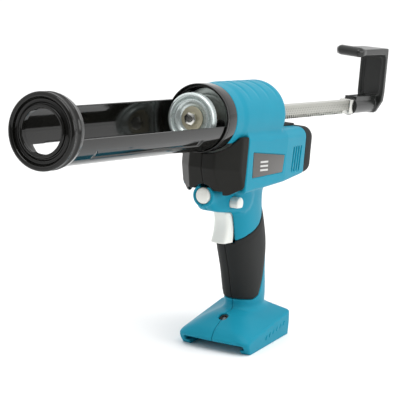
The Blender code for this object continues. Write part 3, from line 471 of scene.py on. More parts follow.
# --- Pieces -------------------------------------------------------------------------------------
@dataclass
class Maker:
    """Turns shapes into finished pieces and keeps count of them."""

    made: list[bpy.types.Object] = field(default_factory=list)

    def from_mesh(self, name: str, mesh: bpy.types.Mesh, finish: Finish, space: Space = Space.GUN,
                  sharp_deg: float = 40.0) -> bpy.types.Object:
        """A piece from a mesh in millimetres, with its place put into the mesh."""
        mesh.transform(space.matrix())
        mesh.materials.clear()
        mesh.materials.append(finish.material())
        mesh.shade_smooth()
        if sharp_deg < 180.0:
            mesh.set_sharp_from_angle(angle=math.radians(sharp_deg))
        obj = bpy.data.objects.new(name, mesh)
        bpy.context.scene.collection.objects.link(obj)
        self.made.append(obj)
        LOG.info("%s: %d faces", name, len(mesh.polygons))
        return obj

    def from_points(self, name: str, points: Array, faces: Array, finish: Finish,
                    sharp_deg: float = 180.0) -> bpy.types.Object:
        """A piece from points and quads in gun space."""
        mesh = bpy.data.meshes.new(name)
        mesh.from_pydata(points.tolist(), [], faces.tolist())
        return self.from_mesh(name, mesh, finish, Space.GUN, sharp_deg)

    def moulding(self, name: str, shape: Shape, lattice: Lattice, finish: Finish) -> bpy.types.Object:
        """A piece skinned from a distance."""
        return self.from_points(name, *skinned(shape, lattice), finish)

    def turning(self, name: str, profile: Sequence[Point], finish: Finish, centre: Point = (0.0, 0.0),
                steps: int = 128, sharp_deg: float = 50.0) -> bpy.types.Object:
        """A piece spun from a closed profile of (radius, x) about a line along x."""
        bm = bmesh.new()
        count = len(profile)
        rows = []
        for i in range(steps):
            a = 2 * math.pi * i / steps
            rows.append([bm.verts.new((x, centre[0] + r * math.cos(a), centre[1] + r * math.sin(a)))
                         for r, x in profile])
        for first, second in zip(rows, rows[1:] + rows[:1]):
            for j in range(count):
                k = (j + 1) % count
                bm.faces.new((first[j], first[k], second[k], second[j]))
        return self.from_bmesh(name, bm, finish, sharp_deg=sharp_deg)

    def from_bmesh(self, name: str, bm: bmesh.types.BMesh, finish: Finish, space: Space = Space.GUN,
                   sharp_deg: float = 40.0) -> bpy.types.Object:
        """A piece from a closed bmesh, with its doubles merged and its faces turned outwards."""
        bmesh.ops.remove_doubles(bm, verts=bm.verts, dist=0.0005)
        bmesh.ops.dissolve_degenerate(bm, edges=bm.edges, dist=0.0001)
        bmesh.ops.recalc_face_normals(bm, faces=bm.faces)
        mesh = bpy.data.meshes.new(name)
        bm.to_mesh(mesh)
        bm.free()
        return self.from_mesh(name, mesh, finish, space, sharp_deg)

    def place(self, obj: bpy.types.Object, body: str, finish: Finish, *nodes: str) -> None:
        """Rides the piece on its body and hides the nodes that it stands for."""
        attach(obj, body)
        if nodes:
            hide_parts(*nodes)


def filleted(points: Sequence[Point], radius: float, steps: int = 4) -> list[Point]:
    """A closed profile with each corner rounded by an arc of about that radius."""
    rounded: list[Point] = []
    count = len(points)
    for i, here in enumerate(points):
        before, after = Vector(points[i - 1]), Vector(points[(i + 1) % count])
        corner = Vector(here)
        into, out = before - corner, after - corner
        reach = min(radius, 0.45 * into.length, 0.45 * out.length)
        first, last = corner + into.normalized() * reach, corner + out.normalized() * reach
        for s in range(steps + 1):
            t = s / steps
            point = first * (1 - t) ** 2 + corner * 2 * t * (1 - t) + last * t**2
            rounded.append((point.x, point.y))
    return rounded


def arc(centre: Point, radius: float, first_deg: float, last_deg: float, steps: int = 12) -> list[Point]:
    """Points along an arc."""
    angles = [math.radians(first_deg + (last_deg - first_deg) * i / steps) for i in range(steps + 1)]
    return [(centre[0] + radius * math.cos(a), centre[1] + radius * math.sin(a)) for a in angles]


def prism(outline: Sequence[Point], low: float, high: float, axis: str = "Y",
          bevel: float = 0.3) -> bmesh.types.BMesh:
    """A flat outline pushed along an axis, with bevelled edges."""
    corner = {"X": lambda a, b: (low, a, b), "Y": lambda a, b: (a, low, b), "Z": lambda a, b: (a, b, low)}
    way = {"X": (high - low, 0, 0), "Y": (0, high - low, 0), "Z": (0, 0, high - low)}
    bm = bmesh.new()
    face = bm.faces.new([bm.verts.new(corner[axis](a, b)) for a, b in outline])
    pushed = bmesh.ops.extrude_face_region(bm, geom=[face])["geom"]
    bmesh.ops.translate(bm, vec=way[axis], verts=[v for v in pushed if isinstance(v, bmesh.types.BMVert)])
    bmesh.ops.recalc_face_normals(bm, faces=bm.faces)
    sharp = [e for e in bm.edges if e.calc_face_angle(0.0) > math.radians(35)]
    bmesh.ops.bevel(bm, geom=sharp, offset=bevel, segments=2, affect="EDGES", profile=0.5)
    return bm


# --- Repeats by Geometry Nodes ------------------------------------------------------------------
@dataclass(frozen=True)
class Repeat:
    """Copies of a small part, in a row or round a ring, made by one Geometry Nodes tree.

    Args:
        count: How many copies.
        start: The first copy's place, in millimetres.
        step: From one copy to the next, for a row.
        ring: Radius of the circle round the x direction, or 0 for a row.
        first_deg: The first copy's angle on the ring, from +y towards +z.
    """

    count: int
    start: tuple[float, float, float]
    step: tuple[float, float, float] = (0.0, 0.0, 0.0)
    ring: float = 0.0
    first_deg: float = 0.0

    def mesh(self, name: str, part: bmesh.types.BMesh, finish: Finish) -> bpy.types.Mesh:
        """The copies as one plain mesh in millimetres."""
        seed = bpy.data.meshes.new(f"{name}_part")
        part.to_mesh(seed)
        part.free()
        part_object = bpy.data.objects.new(f"{name}_part", seed)
        holder = bpy.data.objects.new(f"{name}_row", bpy.data.meshes.new(f"{name}_row"))
        for obj in (part_object, holder):
            bpy.context.scene.collection.objects.link(obj)
        tree = self._tree(name)
        modifier = holder.modifiers.new("repeat", "NODES")
        modifier.node_group = tree
        values = {"Count": self.count, "Start": self.start, "Step": self.step, "Part": part_object,
                  "Finish": finish.material(), "Ring": self.ring, "First Angle": math.radians(self.first_deg)}
        for item in tree.interface.items_tree:
            if item.item_type == "SOCKET" and item.in_out == "INPUT" and item.name in values:
                modifier[item.identifier] = values[item.name]
        graph = bpy.context.evaluated_depsgraph_get()
        mesh = bpy.data.meshes.new_from_object(holder.evaluated_get(graph))
        bpy.data.objects.remove(holder)
        bpy.data.objects.remove(part_object)
        return mesh

    def _tree(self, name: str) -> bpy.types.NodeTree:
        """Points in a row or on a ring, a copy of the part at each, made real and given its finish."""
        tree = bpy.data.node_groups.new(f"{name}_repeat", "GeometryNodeTree")
        for label, kind in (("Count", "NodeSocketInt"), ("Start", "NodeSocketVector"),
                            ("Step", "NodeSocketVector"), ("Ring", "NodeSocketFloat"),
                            ("First Angle", "NodeSocketFloat"), ("Part", "NodeSocketObject"),
                            ("Finish", "NodeSocketMaterial")):
            tree.interface.new_socket(label, in_out="INPUT", socket_type=kind)
        tree.interface.new_socket("Geometry", in_out="OUTPUT", socket_type="NodeSocketGeometry")
        nodes, links = tree.nodes, tree.links
        given = nodes.new("NodeGroupInput")
        result = nodes.new("NodeGroupOutput")
        line = nodes.new("GeometryNodeMeshLine")
        links.new(given.outputs["Count"], line.inputs["Count"])
        links.new(given.outputs["Start"], line.inputs["Start Location"])
        links.new(given.outputs["Step"], line.inputs["Offset"])
        copies = nodes.new("GeometryNodeInstanceOnPoints")
        info = nodes.new("GeometryNodeObjectInfo")
        links.new(given.outputs["Part"], info.inputs["Object"])
        links.new(info.outputs["Geometry"], copies.inputs["Instance"])
        if self.ring:
            self._onto_ring(tree, given, line, copies)
        else:
            links.new(line.outputs["Mesh"], copies.inputs["Points"])
        real = nodes.new("GeometryNodeRealizeInstances")
        dress = nodes.new("GeometryNodeSetMaterial")
        links.new(copies.outputs["Instances"], real.inputs["Geometry"])
        links.new(real.outputs["Geometry"], dress.inputs["Geometry"])
        links.new(given.outputs["Finish"], dress.inputs["Material"])
        links.new(dress.outputs["Geometry"], result.inputs["Geometry"])
        return tree

    @staticmethod
    def _onto_ring(tree: bpy.types.NodeTree, given: bpy.types.Node, line: bpy.types.Node,
                   copies: bpy.types.Node) -> None:
        """Moves the points to a ring by their number, and turns each copy outwards."""
        nodes, links = tree.nodes, tree.links
        index = nodes.new("GeometryNodeInputIndex")
        share = nodes.new("ShaderNodeMath")
        share.operation = "DIVIDE"
        links.new(index.outputs["Index"], share.inputs[0])
        links.new(given.outputs["Count"], share.inputs[1])
        angle = nodes.new("ShaderNodeMath")
        angle.operation = "MULTIPLY_ADD"
        angle.inputs[1].default_value = 2 * math.pi
        links.new(share.outputs["Value"], angle.inputs[0])
        links.new(given.outputs["First Angle"], angle.inputs[2])
        ring = nodes.new("ShaderNodeCombineXYZ")
        for operation, socket in (("COSINE", "Y"), ("SINE", "Z")):
            way = nodes.new("ShaderNodeMath")
            way.operation = operation
            links.new(angle.outputs["Value"], way.inputs[0])
            sized = nodes.new("ShaderNodeMath")
            sized.operation = "MULTIPLY"
            links.new(way.outputs["Value"], sized.inputs[0])
            links.new(given.outputs["Ring"], sized.inputs[1])
            links.new(sized.outputs["Value"], ring.inputs[socket])
        moved = nodes.new("GeometryNodeSetPosition")
        links.new(line.outputs["Mesh"], moved.inputs["Geometry"])
        links.new(ring.outputs["Vector"], moved.inputs["Offset"])
        turned = nodes.new("ShaderNodeCombineXYZ")
        links.new(angle.outputs["Value"], turned.inputs["X"])
        links.new(moved.outputs["Geometry"], copies.inputs["Points"])
        links.new(turned.outputs["Vector"], copies.inputs["Rotation"])


# --- Cartridge holder ---------------------------------------------------------------------------
@dataclass
class CartridgeHolder:
    """Nose ring, half-open trough and collar, which turn together about the barrel axis."""

    maker: Maker
    body: str = "holder"
    radius: float = 27.0
    wall: float = 1.2
    nose_front: float = -228.0
    nose_radius: float = 28.8
    hole_radius: float = 16.5
    seat: float = -222.5
    skirt_end: float = -212.0
    trough_end: float = 14.2
    open_deg: tuple[float, float] = (29.0, 187.5)
    open_x: tuple[float, float] = (-213.0, 3.0)
    window_deg: tuple[float, float] = (248.0, 329.0)
    window_x: tuple[float, float] = (-203.0, -28.0)
    panel_deg: tuple[float, float] = (208.5, 226.0)
    panel_x: tuple[float, float] = (-188.0, -28.0)
    panel_step_x: float = -141.0
    panel_depth: float = 0.8
    collar_radius: float = 28.5
    collar_end: float = 15.7

    def build(self) -> None:
        """Builds and places the three pieces."""
        gloss = BLACK_GLOSS
        self.maker.place(self.nose_ring(), self.body, gloss, "nose_ring")
        self.maker.place(self.trough(), self.body, gloss, "holder_trough")
        self.maker.place(self.collar(), self.body, gloss, "collar_ring")

    def nose_ring(self) -> bpy.types.Object:
        """A rolled outer rim, a channel and a rolled lip round the nozzle hole, with a beaded skirt."""
        front, out = self.nose_front, self.nose_radius
        rim, lip = 2.1, 1.55
        bore = self.radius + 0.3
        profile = [(bore + 0.15, self.skirt_end), (bore + 0.45, self.skirt_end - 0.9), (out - 0.75, -215.0)]
        profile += arc((out - 2.4, -217.6), 2.3, 30, -40, 8)
        profile += [(out - 1.1, -221.6), (out - 1.0, -223.0)]
        profile += arc((out - rim, front + rim + 0.3), rim, 30, -160, 20)
        profile += arc((22.3, front + 2.0), 2.2, 30, 150, 10)
        profile += arc((self.hole_radius + lip + 0.3, front + lip + 0.9), lip, 20, -190, 20)
        profile += [(self.hole_radius, self.seat + 0.3), (self.hole_radius + 0.5, self.seat)]
        profile += [(bore, self.seat), (bore, self.skirt_end)]
        return self.maker.turning("rolled_nose_ring", profile, BLACK_GLOSS, steps=160)

    def trough(self) -> bpy.types.Object:
        """A sheet tube with its top cut away, a window below and a pressed panel along each side."""
        first, last = self.open_deg[1], self.open_deg[0] + 360.0
        angles = self._stations(first, last, 1.9, (*self.window_deg, *self._panel_edges()))
        around = self._stations(self.open_deg[0], self.open_deg[1], 2.2, ())
        stops = (*self.open_x, *self.window_x, *self.panel_x, self.panel_step_x)
        fine = [p + d for p in (*self.panel_x, self.panel_step_x) for d in (-1.5, -0.75, 0.75, 1.5)]
        xs = self._stations(self.seat + 0.3, self.trough_end, 4.0, (*stops, *fine))
        bm = bmesh.new()
        rows: dict[tuple[float, float], bmesh.types.BMVert] = {}
        for part in (angles, around):
            for (a0, a1) in zip(part, part[1:]):
                for (x0, x1) in zip(xs, xs[1:]):
                    if self._is_open(0.5 * (a0 + a1), 0.5 * (x0 + x1)):
                        continue
                    corners = ((a0, x0), (a0, x1), (a1, x1), (a1, x0))
                    bm.faces.new([self._point(bm, rows, a, x) for a, x in corners])
        bmesh.ops.recalc_face_normals(bm, faces=bm.faces)
        mesh = bpy.data.meshes.new("trough_sheet")
        bm.to_mesh(mesh)
        bm.free()
        sheet = bpy.data.objects.new("trough_sheet", mesh)
        bpy.context.scene.collection.objects.link(sheet)
        wall = sheet.modifiers.new("wall", "SOLIDIFY")
        wall.thickness, wall.offset = self.wall, 0.0
        edge = sheet.modifiers.new("edge", "BEVEL")
        edge.width, edge.segments, edge.angle_limit = 0.35, 2, math.radians(50)
        graph = bpy.context.evaluated_depsgraph_get()
        solid = bpy.data.meshes.new_from_object(sheet.evaluated_get(graph))
        bpy.data.objects.remove(sheet)
        return self.maker.from_mesh("pressed_trough", solid, BLACK_GLOSS, sharp_deg=32.0)

    def _panel_edges(self) -> list[float]:
        """Angles at the soft edges of the pressed panels on both sides."""
        low, high = self.panel_deg
        edges = [low - 0.7, low, low + 1.6, low + 3.2, high - 1.4, high, high + 0.8]
        return edges + [540.0 - e for e in edges if 540.0 - e < self.open_deg[0] + 360.0]

    @staticmethod
    def _stations(first: float, last: float, spacing: float, fixed: Sequence[float]) -> list[float]:
        """Values from first to last at about that spacing, which take in the fixed ones."""
        kept = sorted({first, last, *(value for value in fixed if first < value < last)})
        stations = [first]
        for a, b in zip(kept, kept[1:]):
            count = max(1, round((b - a) / spacing))
            stations += [a + (b - a) * i / count for i in range(1, count + 1)]
        return stations

    def _is_open(self, angle: float, x: float) -> bool:
        """Whether the sheet is cut away there."""
        on_top = self.open_deg[0] < angle % 360.0 < self.open_deg[1]
        if on_top:
            return self.open_x[0] < x < self.open_x[1]
        in_window = self.window_deg[0] < angle < self.window_deg[1]
        return in_window and self.window_x[0] < x < self.window_x[1]

    def _point(self, bm: bmesh.types.BMesh, rows: dict, angle: float, x: float) -> bmesh.types.BMVert:
        """The sheet's middle surface at an angle and a distance along the barrel."""
        key = (round(angle % 360.0, 4), round(x, 4))
        if key not in rows:
            r = self.radius - 0.5 * self.wall - self._pressed(angle % 360.0, x)
            a = math.radians(angle)
            rows[key] = bm.verts.new((x, r * math.cos(a), r * math.sin(a)))
        return rows[key]

    def _pressed(self, angle: float, x: float) -> float:
        """How far the panel is pressed in there. It starts lower ahead of its step."""
        angle = angle if angle <= 270.0 else 540.0 - angle
        low, high = self.panel_deg
        shift = np.clip((x - self.panel_step_x) / 1.5, 0.0, 1.0) * 1.6
        into = np.clip((angle - low - shift) / 1.6, 0.0, 1.0) * np.clip((high + 0.8 - angle) / 2.2, 0.0, 1.0)
        ends = np.clip((x - self.panel_x[0]) / 1.5, 0.0, 1.0) * np.clip((self.panel_x[1] - x) / 1.5, 0.0, 1.0)
        return float(self.panel_depth * into * ends)

    def collar(self) -> bpy.types.Object:
        """The black collar that holds the trough, stepped inside for the front plate."""
        out, end = self.collar_radius, self.collar_end
        bore = self.radius + 0.3
        profile = [(26.4, 20.8), (26.4, end), (out, end), (out, 3.2), (out - 0.25, 2.6), (out, 2.0)]
        profile += [(out, 0.0)]
        profile += [(bore, 0.0), (bore, 14.6), (25.1, 14.6), (25.1, 18.3), (22.3, 18.3), (22.3, 20.8)]
        return self.maker.turning("barrel_collar", filleted(profile, 0.6), BLACK_GLOSS, steps=160)


# --- Front plate --------------------------------------------------------------------------------
@dataclass
class FrontPlate:
    """The zinc plate behind the piston, with its socket screws."""

    maker: Maker
    body: str = "body"
    radius: float = 24.8
    face_x: float = 15.0
    back_x: float = 18.0
    hole: float = 10.1
    screws: int = 3
    screw_circle: float = 14.5
    screw_first_deg: float = 195.0

    def build(self) -> None:
        """Builds the plate and its ring of screws."""
        outline = [(self.radius, self.back_x), (self.radius, self.face_x), (19.6, self.face_x)]
        outline += [(19.2, self.face_x + 0.5), (18.8, self.face_x), (self.hole, self.face_x),
                    (self.hole, self.back_x)]
        plate = self.maker.turning("brushed_front_plate", filleted(outline, 0.35), PLATE_ZINC)
        self.maker.place(plate, self.body, PLATE_ZINC, "front_plate")
        ring = Repeat(self.screws, (0.0, 0.0, 0.0), ring=self.screw_circle, first_deg=self.screw_first_deg)
        heads = ring.mesh("plate_screws", self._screw(), DARK_PLASTIC)
        screws = self.maker.from_mesh("plate_socket_screws", heads, DARK_PLASTIC)
        nodes = (f"plate_screw_{i + 1}" for i in range(self.screws))
        self.maker.place(screws, self.body, DARK_PLASTIC, *nodes)

    def _screw(self) -> bmesh.types.BMesh:
        """A socket screw along x: a knurled head with a hexagonal socket."""
        bm = bmesh.new()
        front, back = 11.2, self.face_x - 0.1
        outer = [(3.6 + 0.12 * (i % 2), i) for i in range(32)]
        levels = [(back, 1.0, 32), (front + 0.5, 1.0, 32), (front, 0.9, 32)]
        rows = []
        for x, share, count in levels:
            rows.append([bm.verts.new((x, share * r * math.cos(2 * math.pi * i / count),
                                       share * r * math.sin(2 * math.pi * i / count))) for r, i in outer])
        for x in (front, front + 2.2):
            ring = []
            for i in range(32):
                a = 2 * math.pi * i / 32
                r = 1.75 / math.cos((a + math.pi / 6) % (math.pi / 3) - math.pi / 6)
                ring.append(bm.verts.new((x, r * math.cos(a), r * math.sin(a))))
            rows.append(ring)
        for a, b in zip(rows, rows[1:]):
            for i in range(32):
                j = (i + 1) % 32
                bm.faces.new((a[i], a[j], b[j], b[i]))
        bm.faces.new(rows[0])
        bm.faces.new(rows[-1])
        bmesh.ops.recalc_face_normals(bm, faces=bm.faces)
        return bm


# --- Push rod -----------------------------------------------------------------------------------
@dataclass
class PushRod:
    """The toothed rod, the piston on its front and the hooked handle on its rear."""

    maker: Maker
    body: str = "push_rod"
    half_w: float = 5.0
    top: float = 5.3
    bottom: float = -6.7
    rod_x: tuple[float, float] = (-5.0, 284.0)
    module: float = 1.25
    pinion_x: float = 41.0
    first_tooth: int = -8
    teeth: int = 67
    piston_front: float = -12.9
    piston_back: float = -6.2
    piston_radius: float = 21.4
    piston_rim: float = 1.9
    washer_radius: float = 10.0
    bolt_radius: float = 5.6

    def build(self) -> None:
        """Builds the rod, its teeth, the piston group and the handle."""
        root = self.bottom + 2.25 * self.module
        bar = prism([(-self.half_w, root), (self.half_w, root), (self.half_w, self.top),
                     (-self.half_w, self.top)], *self.rod_x, axis="X", bevel=0.9)
        rod = self.maker.from_bmesh("rack_bar", bar, STEEL)
        self.maker.place(rod, self.body, STEEL, "rack_rod")
        self.maker.place(self.rack(root), self.body, STEEL, "rack_rod")
        self.piston()
        self.end_block()
        handle = PullHandle(self.maker)
        self.maker.place(handle.build(), self.body, HOOK_BLACK, "pull_handle")

    def rack(self, root: float) -> bpy.types.Object:
        """The row of teeth under the rod, each a bevelled wedge."""
        pitch = math.pi * self.module
        points = [(-0.38 * pitch, root + 0.4), (-0.36 * pitch, root), (-0.13 * pitch, self.bottom),
                  (0.13 * pitch, self.bottom), (0.36 * pitch, root), (0.38 * pitch, root + 0.4)]
        tooth = prism(points, -self.half_w + 0.1, self.half_w - 0.1, bevel=0.22)
        start = (self.pinion_x + pitch * (self.first_tooth + 0.5), 0.0, 0.0)
        row = Repeat(self.teeth, start, step=(pitch, 0.0, 0.0))
        return self.maker.from_mesh("rack_tooth_row", row.mesh("rack_teeth", tooth, STEEL), STEEL)

    def piston(self) -> None:
        """A dished zinc piston with a rounded rim, and the bolt and washer that hold it."""
        front, back, radius = self.piston_front, self.piston_back, self.piston_radius
        rim = self.piston_rim
        face = [(radius, back)]
        face += arc((radius - rim, front + rim), rim, 0, -170, 16)
        face += [(17.2, front + 2.6), (16.8, front + 2.7), (16.3, front + 1.9), (15.4, front + 1.5),
                 (14.2, front + 1.8), (12.6, front + 3.6), (11.6, front + 4.4)]
        face += [(3.5, front + 4.5), (3.5, front + 6.0), (18.6, front + 6.0), (19.8, back)]
        cup = self.maker.turning("dished_piston", face, ZINC, steps=192, sharp_deg=60)
        self.maker.place(cup, self.body, ZINC, "piston")
        washer = filleted([(self.washer_radius, front + 4.2), (self.washer_radius, front + 3.2),
                           (3.4, front + 3.2), (3.4, front + 4.2)], 0.35)
        self.maker.place(self.maker.turning("piston_face_washer", washer, YELLOW_ZINC, steps=96), self.body,
                         YELLOW_ZINC, "piston_washer")
        hexagon = [(self.bolt_radius * math.cos(math.radians(60 * i + 10)),
                    self.bolt_radius * math.sin(math.radians(60 * i + 10))) for i in range(6)]
        head = prism(hexagon, front - 0.7, front + 3.1, axis="X", bevel=0.5)
        shank = bmesh.ops.create_cone(head, cap_ends=True, segments=48, radius1=3.0, radius2=3.0, depth=7.4)
        bmesh.ops.rotate(head, verts=shank["verts"], matrix=Matrix.Rotation(math.radians(90), 3, "Y"))
        bmesh.ops.translate(head, verts=shank["verts"], vec=(front + 2.6, 0, 0))
        bolt = self.maker.from_bmesh("piston_hex_bolt", head, BRIGHT_STEEL)
        self.maker.place(bolt, self.body, BRIGHT_STEEL, "piston_bolt")

    def end_block(self) -> None:
        """The bright block on the rod's end and the flange ahead of the handle."""
        outline = [(-6.0, -7.6), (6.0, -7.6), (6.0, 6.4), (-6.0, 6.4)]
        block_mesh = prism(outline, self.rod_x[1] + 0.2, 293.6, axis="X", bevel=1.3)
        self.maker.place(self.maker.from_bmesh("rod_ferrule", block_mesh, BRIGHT_STEEL), self.body,
                         BRIGHT_STEEL, "rod_end_block")
        rim = filleted([(8.7, 295.6), (8.7, 293.9), (1.5, 293.9), (1.5, 295.6)], 0.5)
        flange = self.maker.turning("ferrule_flange", rim, HOOK_BLACK, (0.0, -0.4), steps=96)
        self.maker.place(flange, self.body, HOOK_BLACK, "handle_flange")


@dataclass
class PullHandle:
    """The hooked handle: a plate with a recessed panel, an arm with a fat lip, and a round boss on the rod."""

    maker: Maker
    half_w: float = 13.5
    plate_x: tuple[float, float] = (341.0, 346.5)
    arm_z: tuple[float, float] = (49.0, 55.4)
    lip_x: float = 282.0
    lip_radius: float = 4.7
    boss_radius: float = 7.6
    boss_x: float = 296.0

    def build(self) -> bpy.types.Object:
        """The handle as one moulding."""
        lattice = Lattice((279.0, -16.0, -12.0), (349.0, 16.0, 60.0), 0.55)
        return self.maker.moulding("hooked_pull_handle", self.shape, lattice, HOOK_BLACK)

    def shape(self, x: Array, y: Array, z: Array) -> Array:
        """Distance to the handle."""
        x0, x1 = self.plate_x
        z0, z1 = self.arm_z
        strap = [(x0, -4.0), (x0, z0 - 3.0), (x0 - 3.0, z0),
                 (self.lip_x + 4.0, z0), (self.lip_x + 4.0, z1 - 0.6),
                 (x1 - 1.0, z1), (x1, z1 - 2.0), (x1, -6.0), (x1 - 3.0, -9.0), (x0 + 0.5, -7.0)]
        side = outlined(x, z, softened(strap, 1, 0.1))
        across = outlined(y, z, softened([(-13.5, 70.0), (-13.5, 5.0), (-6.0, -8.8), (6.0, -8.8), (13.5, 5.0),
                                          (13.5, 70.0)], 1, 0.1))
        d = shared(side, across, 1.1)
        panel = rounded_box(y, z - 28.0, 8.6, 18.5, 2.5)
        d = without(d, np.maximum(panel, x - x0 - 1.5), 2.4)
        reach = np.maximum(np.abs(y) - (self.half_w - self.lip_radius), 0.0)
        drop = 0.04 * (y + self.half_w)
        lip = np.sqrt(((x - self.lip_x - self.lip_radius - 0.3) * 0.72) ** 2 + reach**2
                      + (z - z1 + self.lip_radius - 1.4 - drop + 0.4) ** 2) - self.lip_radius
        d = joined(d, lip, 3.0)
        boss = np.maximum(np.hypot(y, z + 0.4) - self.boss_radius, np.maximum(self.boss_x - x, x - x0 - 3.0))
        d = joined(d, boss, 2.0)
        ledge = block(x, y, z, (self.boss_x + 1.0, -6.0, 5.0), (x0 + 2.0, 6.0, 9.0))
        groove = block(x, y, z, (self.boss_x + 3.0, -3.6, 8.2), (x0 - 3.0, 3.6, 10.0))
        return joined(d, without(ledge, groove, 0.5), 1.0)


# --- Body form ----------------------------------------------------------------------------------
def facing(plane: Sequence[float], u: Array, v: Array) -> Array:
    """Distance outside the line through (u0, v0) and (u1, v1), whose outside is on its left."""
    u0, v0, u1, v1 = plane
    length = math.hypot(u1 - u0, v1 - v0)
    return ((v1 - v0) * (u0 - u) + (u1 - u0) * (v - v0)) / length


@dataclass
class BodyForm:
    """Outside and hollow of the moulded body, as distances in gun space."""

    barrel_radius: float = 29.3
    barrel_x: Point = (16.0, 110.0)
    barrel_round: float = 11.0
    shoulder: float = 0.8
    shoulder_x: Point = (27.0, 36.0)
    grooves: tuple[float, ...] = (44.0, 61.0, 78.0, 94.0)
    groove_depth: float = 0.75
    housing_x: tuple[float, ...] = (38.3, 110.0, 152.7)
    housing_half_w: tuple[float, ...] = (30.0, 30.0, 26.5)
    housing_top: tuple[float, ...] = (-9.5, -10.5, -11.5)
    housing_bottom: tuple[float, ...] = (-62.0, -57.0, -53.0)
    grip_z: tuple[float, ...] = (-180.0, -168.0, -160.0, -136.0, -112.0, -96.0, -80.0, -66.0, -50.0)
    grip_x: tuple[float, ...] = (116.2, 114.2, 112.2, 105.2, 97.4, 91.6, 84.8, 80.0, 78.0)
    grip_depth: tuple[float, ...] = (22.2, 21.8, 23.2, 26.2, 29.6, 29.2, 28.8, 31.0, 34.0)
    grip_half_w: tuple[float, ...] = (15.0, 15.0, 15.5, 15.8, 16.6, 16.5, 16.8, 18.0, 21.0)
    bridge: tuple[Point, ...] = ((22.0, -61.5), (22.0, -68.0), (24.0, -74.5), (30.0, -79.5), (40.0, -81.0),
                                 (75.0, -82.0), (75.0, -60.0))
    bridge_x: Point = (22.0, 66.0)
    bridge_half_w: Point = (8.5, 16.8)
    boss_radius: float = 9.7
    boss_x: Point = (20.5, 40.0)
    dial_z: float = -66.0
    foot_half_w: float = 34.5
    foot_rear: float = 115.0
    wall: float = 2.6
    grip_wall: float = 5.0
    hollow_floor: float = 13.5

    def barrel(self, x: Array, y: Array, z: Array, inset: float = 0.0) -> Array:
        """The barrel, with soft grooves over its top and a shoulder at its front."""
        first, last = self.barrel_x
        radius = self.barrel_radius - inset
        if not inset:
            rise = np.clip((x - self.shoulder_x[0]) / (self.shoulder_x[1] - self.shoulder_x[0]), 0.0, 1.0)
            radius = radius - self.shoulder * (1.0 - rise * rise * (3.0 - 2.0 * rise))
            down = np.degrees(np.arctan2(np.abs(y), z))
            fade = np.clip((60.0 - down) / 34.0, 0.0, 1.0)
            dips = sum(np.exp(-(((x - at) / 2.2) ** 2)) for at in self.grooves)
            radius = radius - self.groove_depth * fade * dips
        turn = self.barrel_round - inset
        qr = np.hypot(y, z) - radius + turn
        qx = x - (last - inset) + turn
        d = np.hypot(np.maximum(qr, 0.0), np.maximum(qx, 0.0)) + np.minimum(np.maximum(qr, qx), 0.0) - turn
        return shared(d, first - (2.0 if inset else 0.0) - x, 0.8)

    def housing(self, x: Array, y: Array, z: Array, inset: float = 0.0) -> Array:
        """The motor housing, with soft upper corners and a crisp lower ridge."""
        half_w = np.interp(x, self.housing_x, self.housing_half_w) - inset
        top = np.interp(x, self.housing_x, self.housing_top) - inset
        bottom = np.interp(x, self.housing_x, self.housing_bottom) + inset
        middle, half = 0.5 * (top + bottom), 0.5 * (top - bottom)
        corner = np.where(z > middle, 9.0, 3.2) - 0.3 * inset
        section = rounded_box(y, z - middle, half_w, half, np.maximum(corner, 1.5))
        low, high = self.housing_x[0] - 3.0 * bool(inset), self.housing_x[-1] - 0.4 * inset
        return shared(section, np.maximum(low - x, x - high), 0.9)

    def grip(self, x: Array, y: Array, z: Array, inset: float = 0.0) -> Array:
        """The handle's oval run, without its ends."""
        centre = along_run(z, self.grip_z, self.grip_x)
        depth = along_run(z, self.grip_z, self.grip_depth) - inset
        half_w = along_run(z, self.grip_z, self.grip_half_w) - inset
        return oval(x - centre, y, depth, half_w, 2.3) * 0.95

    def grip_span(self, x: Array, z: Array) -> Array:
        """Distance outside the handle's reach between the housing and the foot."""
        _, height = standing(x, z)
        return np.maximum(z + 45.0, 12.0 - height)

    def front_bridge(self, x: Array, y: Array, z: Array) -> Array:
        """The nose below the gear cover that carries the dial, which widens back to the handle."""
        side = outlined(x, z, softened(self.bridge, 2, 0.25))
        half_w = along_run(x, (15.0, self.bridge_x[0], 44.0, self.bridge_x[1], 80.0),
                           (self.bridge_half_w[0], self.bridge_half_w[0], 13.0, self.bridge_half_w[1],
                            self.bridge_half_w[1]))
        return shared(side, np.abs(y) - half_w, 5.0)

    def boss(self, x: Array, y: Array, z: Array) -> Array:
        """The round boss of the speed dial."""
        low, high = self.boss_x
        ring = np.hypot(y, z - self.dial_z) - self.boss_radius
        return shared(ring, np.maximum(low - x, x - high), 0.9)

    def foot(self, x: Array, y: Array, z: Array) -> Array:
        """The battery foot: sloped front and sides, a bowed front lip and upright rear."""
        sx, height = standing(x, z)
        side = np.abs(y)
        bow = 1.6 * (1.0 - (side / self.foot_half_w) ** 2)
        along = np.clip((sx - 36.0) / 79.0, -0.2, 1.0)
        crest, ridge = 12.0 + 9.8 * along, 26.6 - 1.6 * along
        rise, run = ridge - crest, self.foot_half_w - 16.0
        slope = ((height - crest) * run + (side - self.foot_half_w) * rise) / np.hypot(run, rise)
        front = facing((34.4, 11.0, 38.5, 18.2), sx + bow, height)
        d = shared(front, facing((38.5, 18.2, 64.0, 30.6), sx + bow, height), 2.2)
        d = shared(d, facing((42.0, 0.0, 34.4, 11.0), sx + bow, height), 1.0)
        d = shared(d, slope, 7.0)
        d = shared(d, height - 28.6, 3.0)
        half_w = self.foot_half_w - 0.08 * np.maximum(11 - height, 0)
        flank = rounded_box(sx - 65.0, side, self.foot_rear - 65.0, half_w, 4.0)
        d = shared(d, flank, 1.4)
        return shared(d, -height, 0.5)

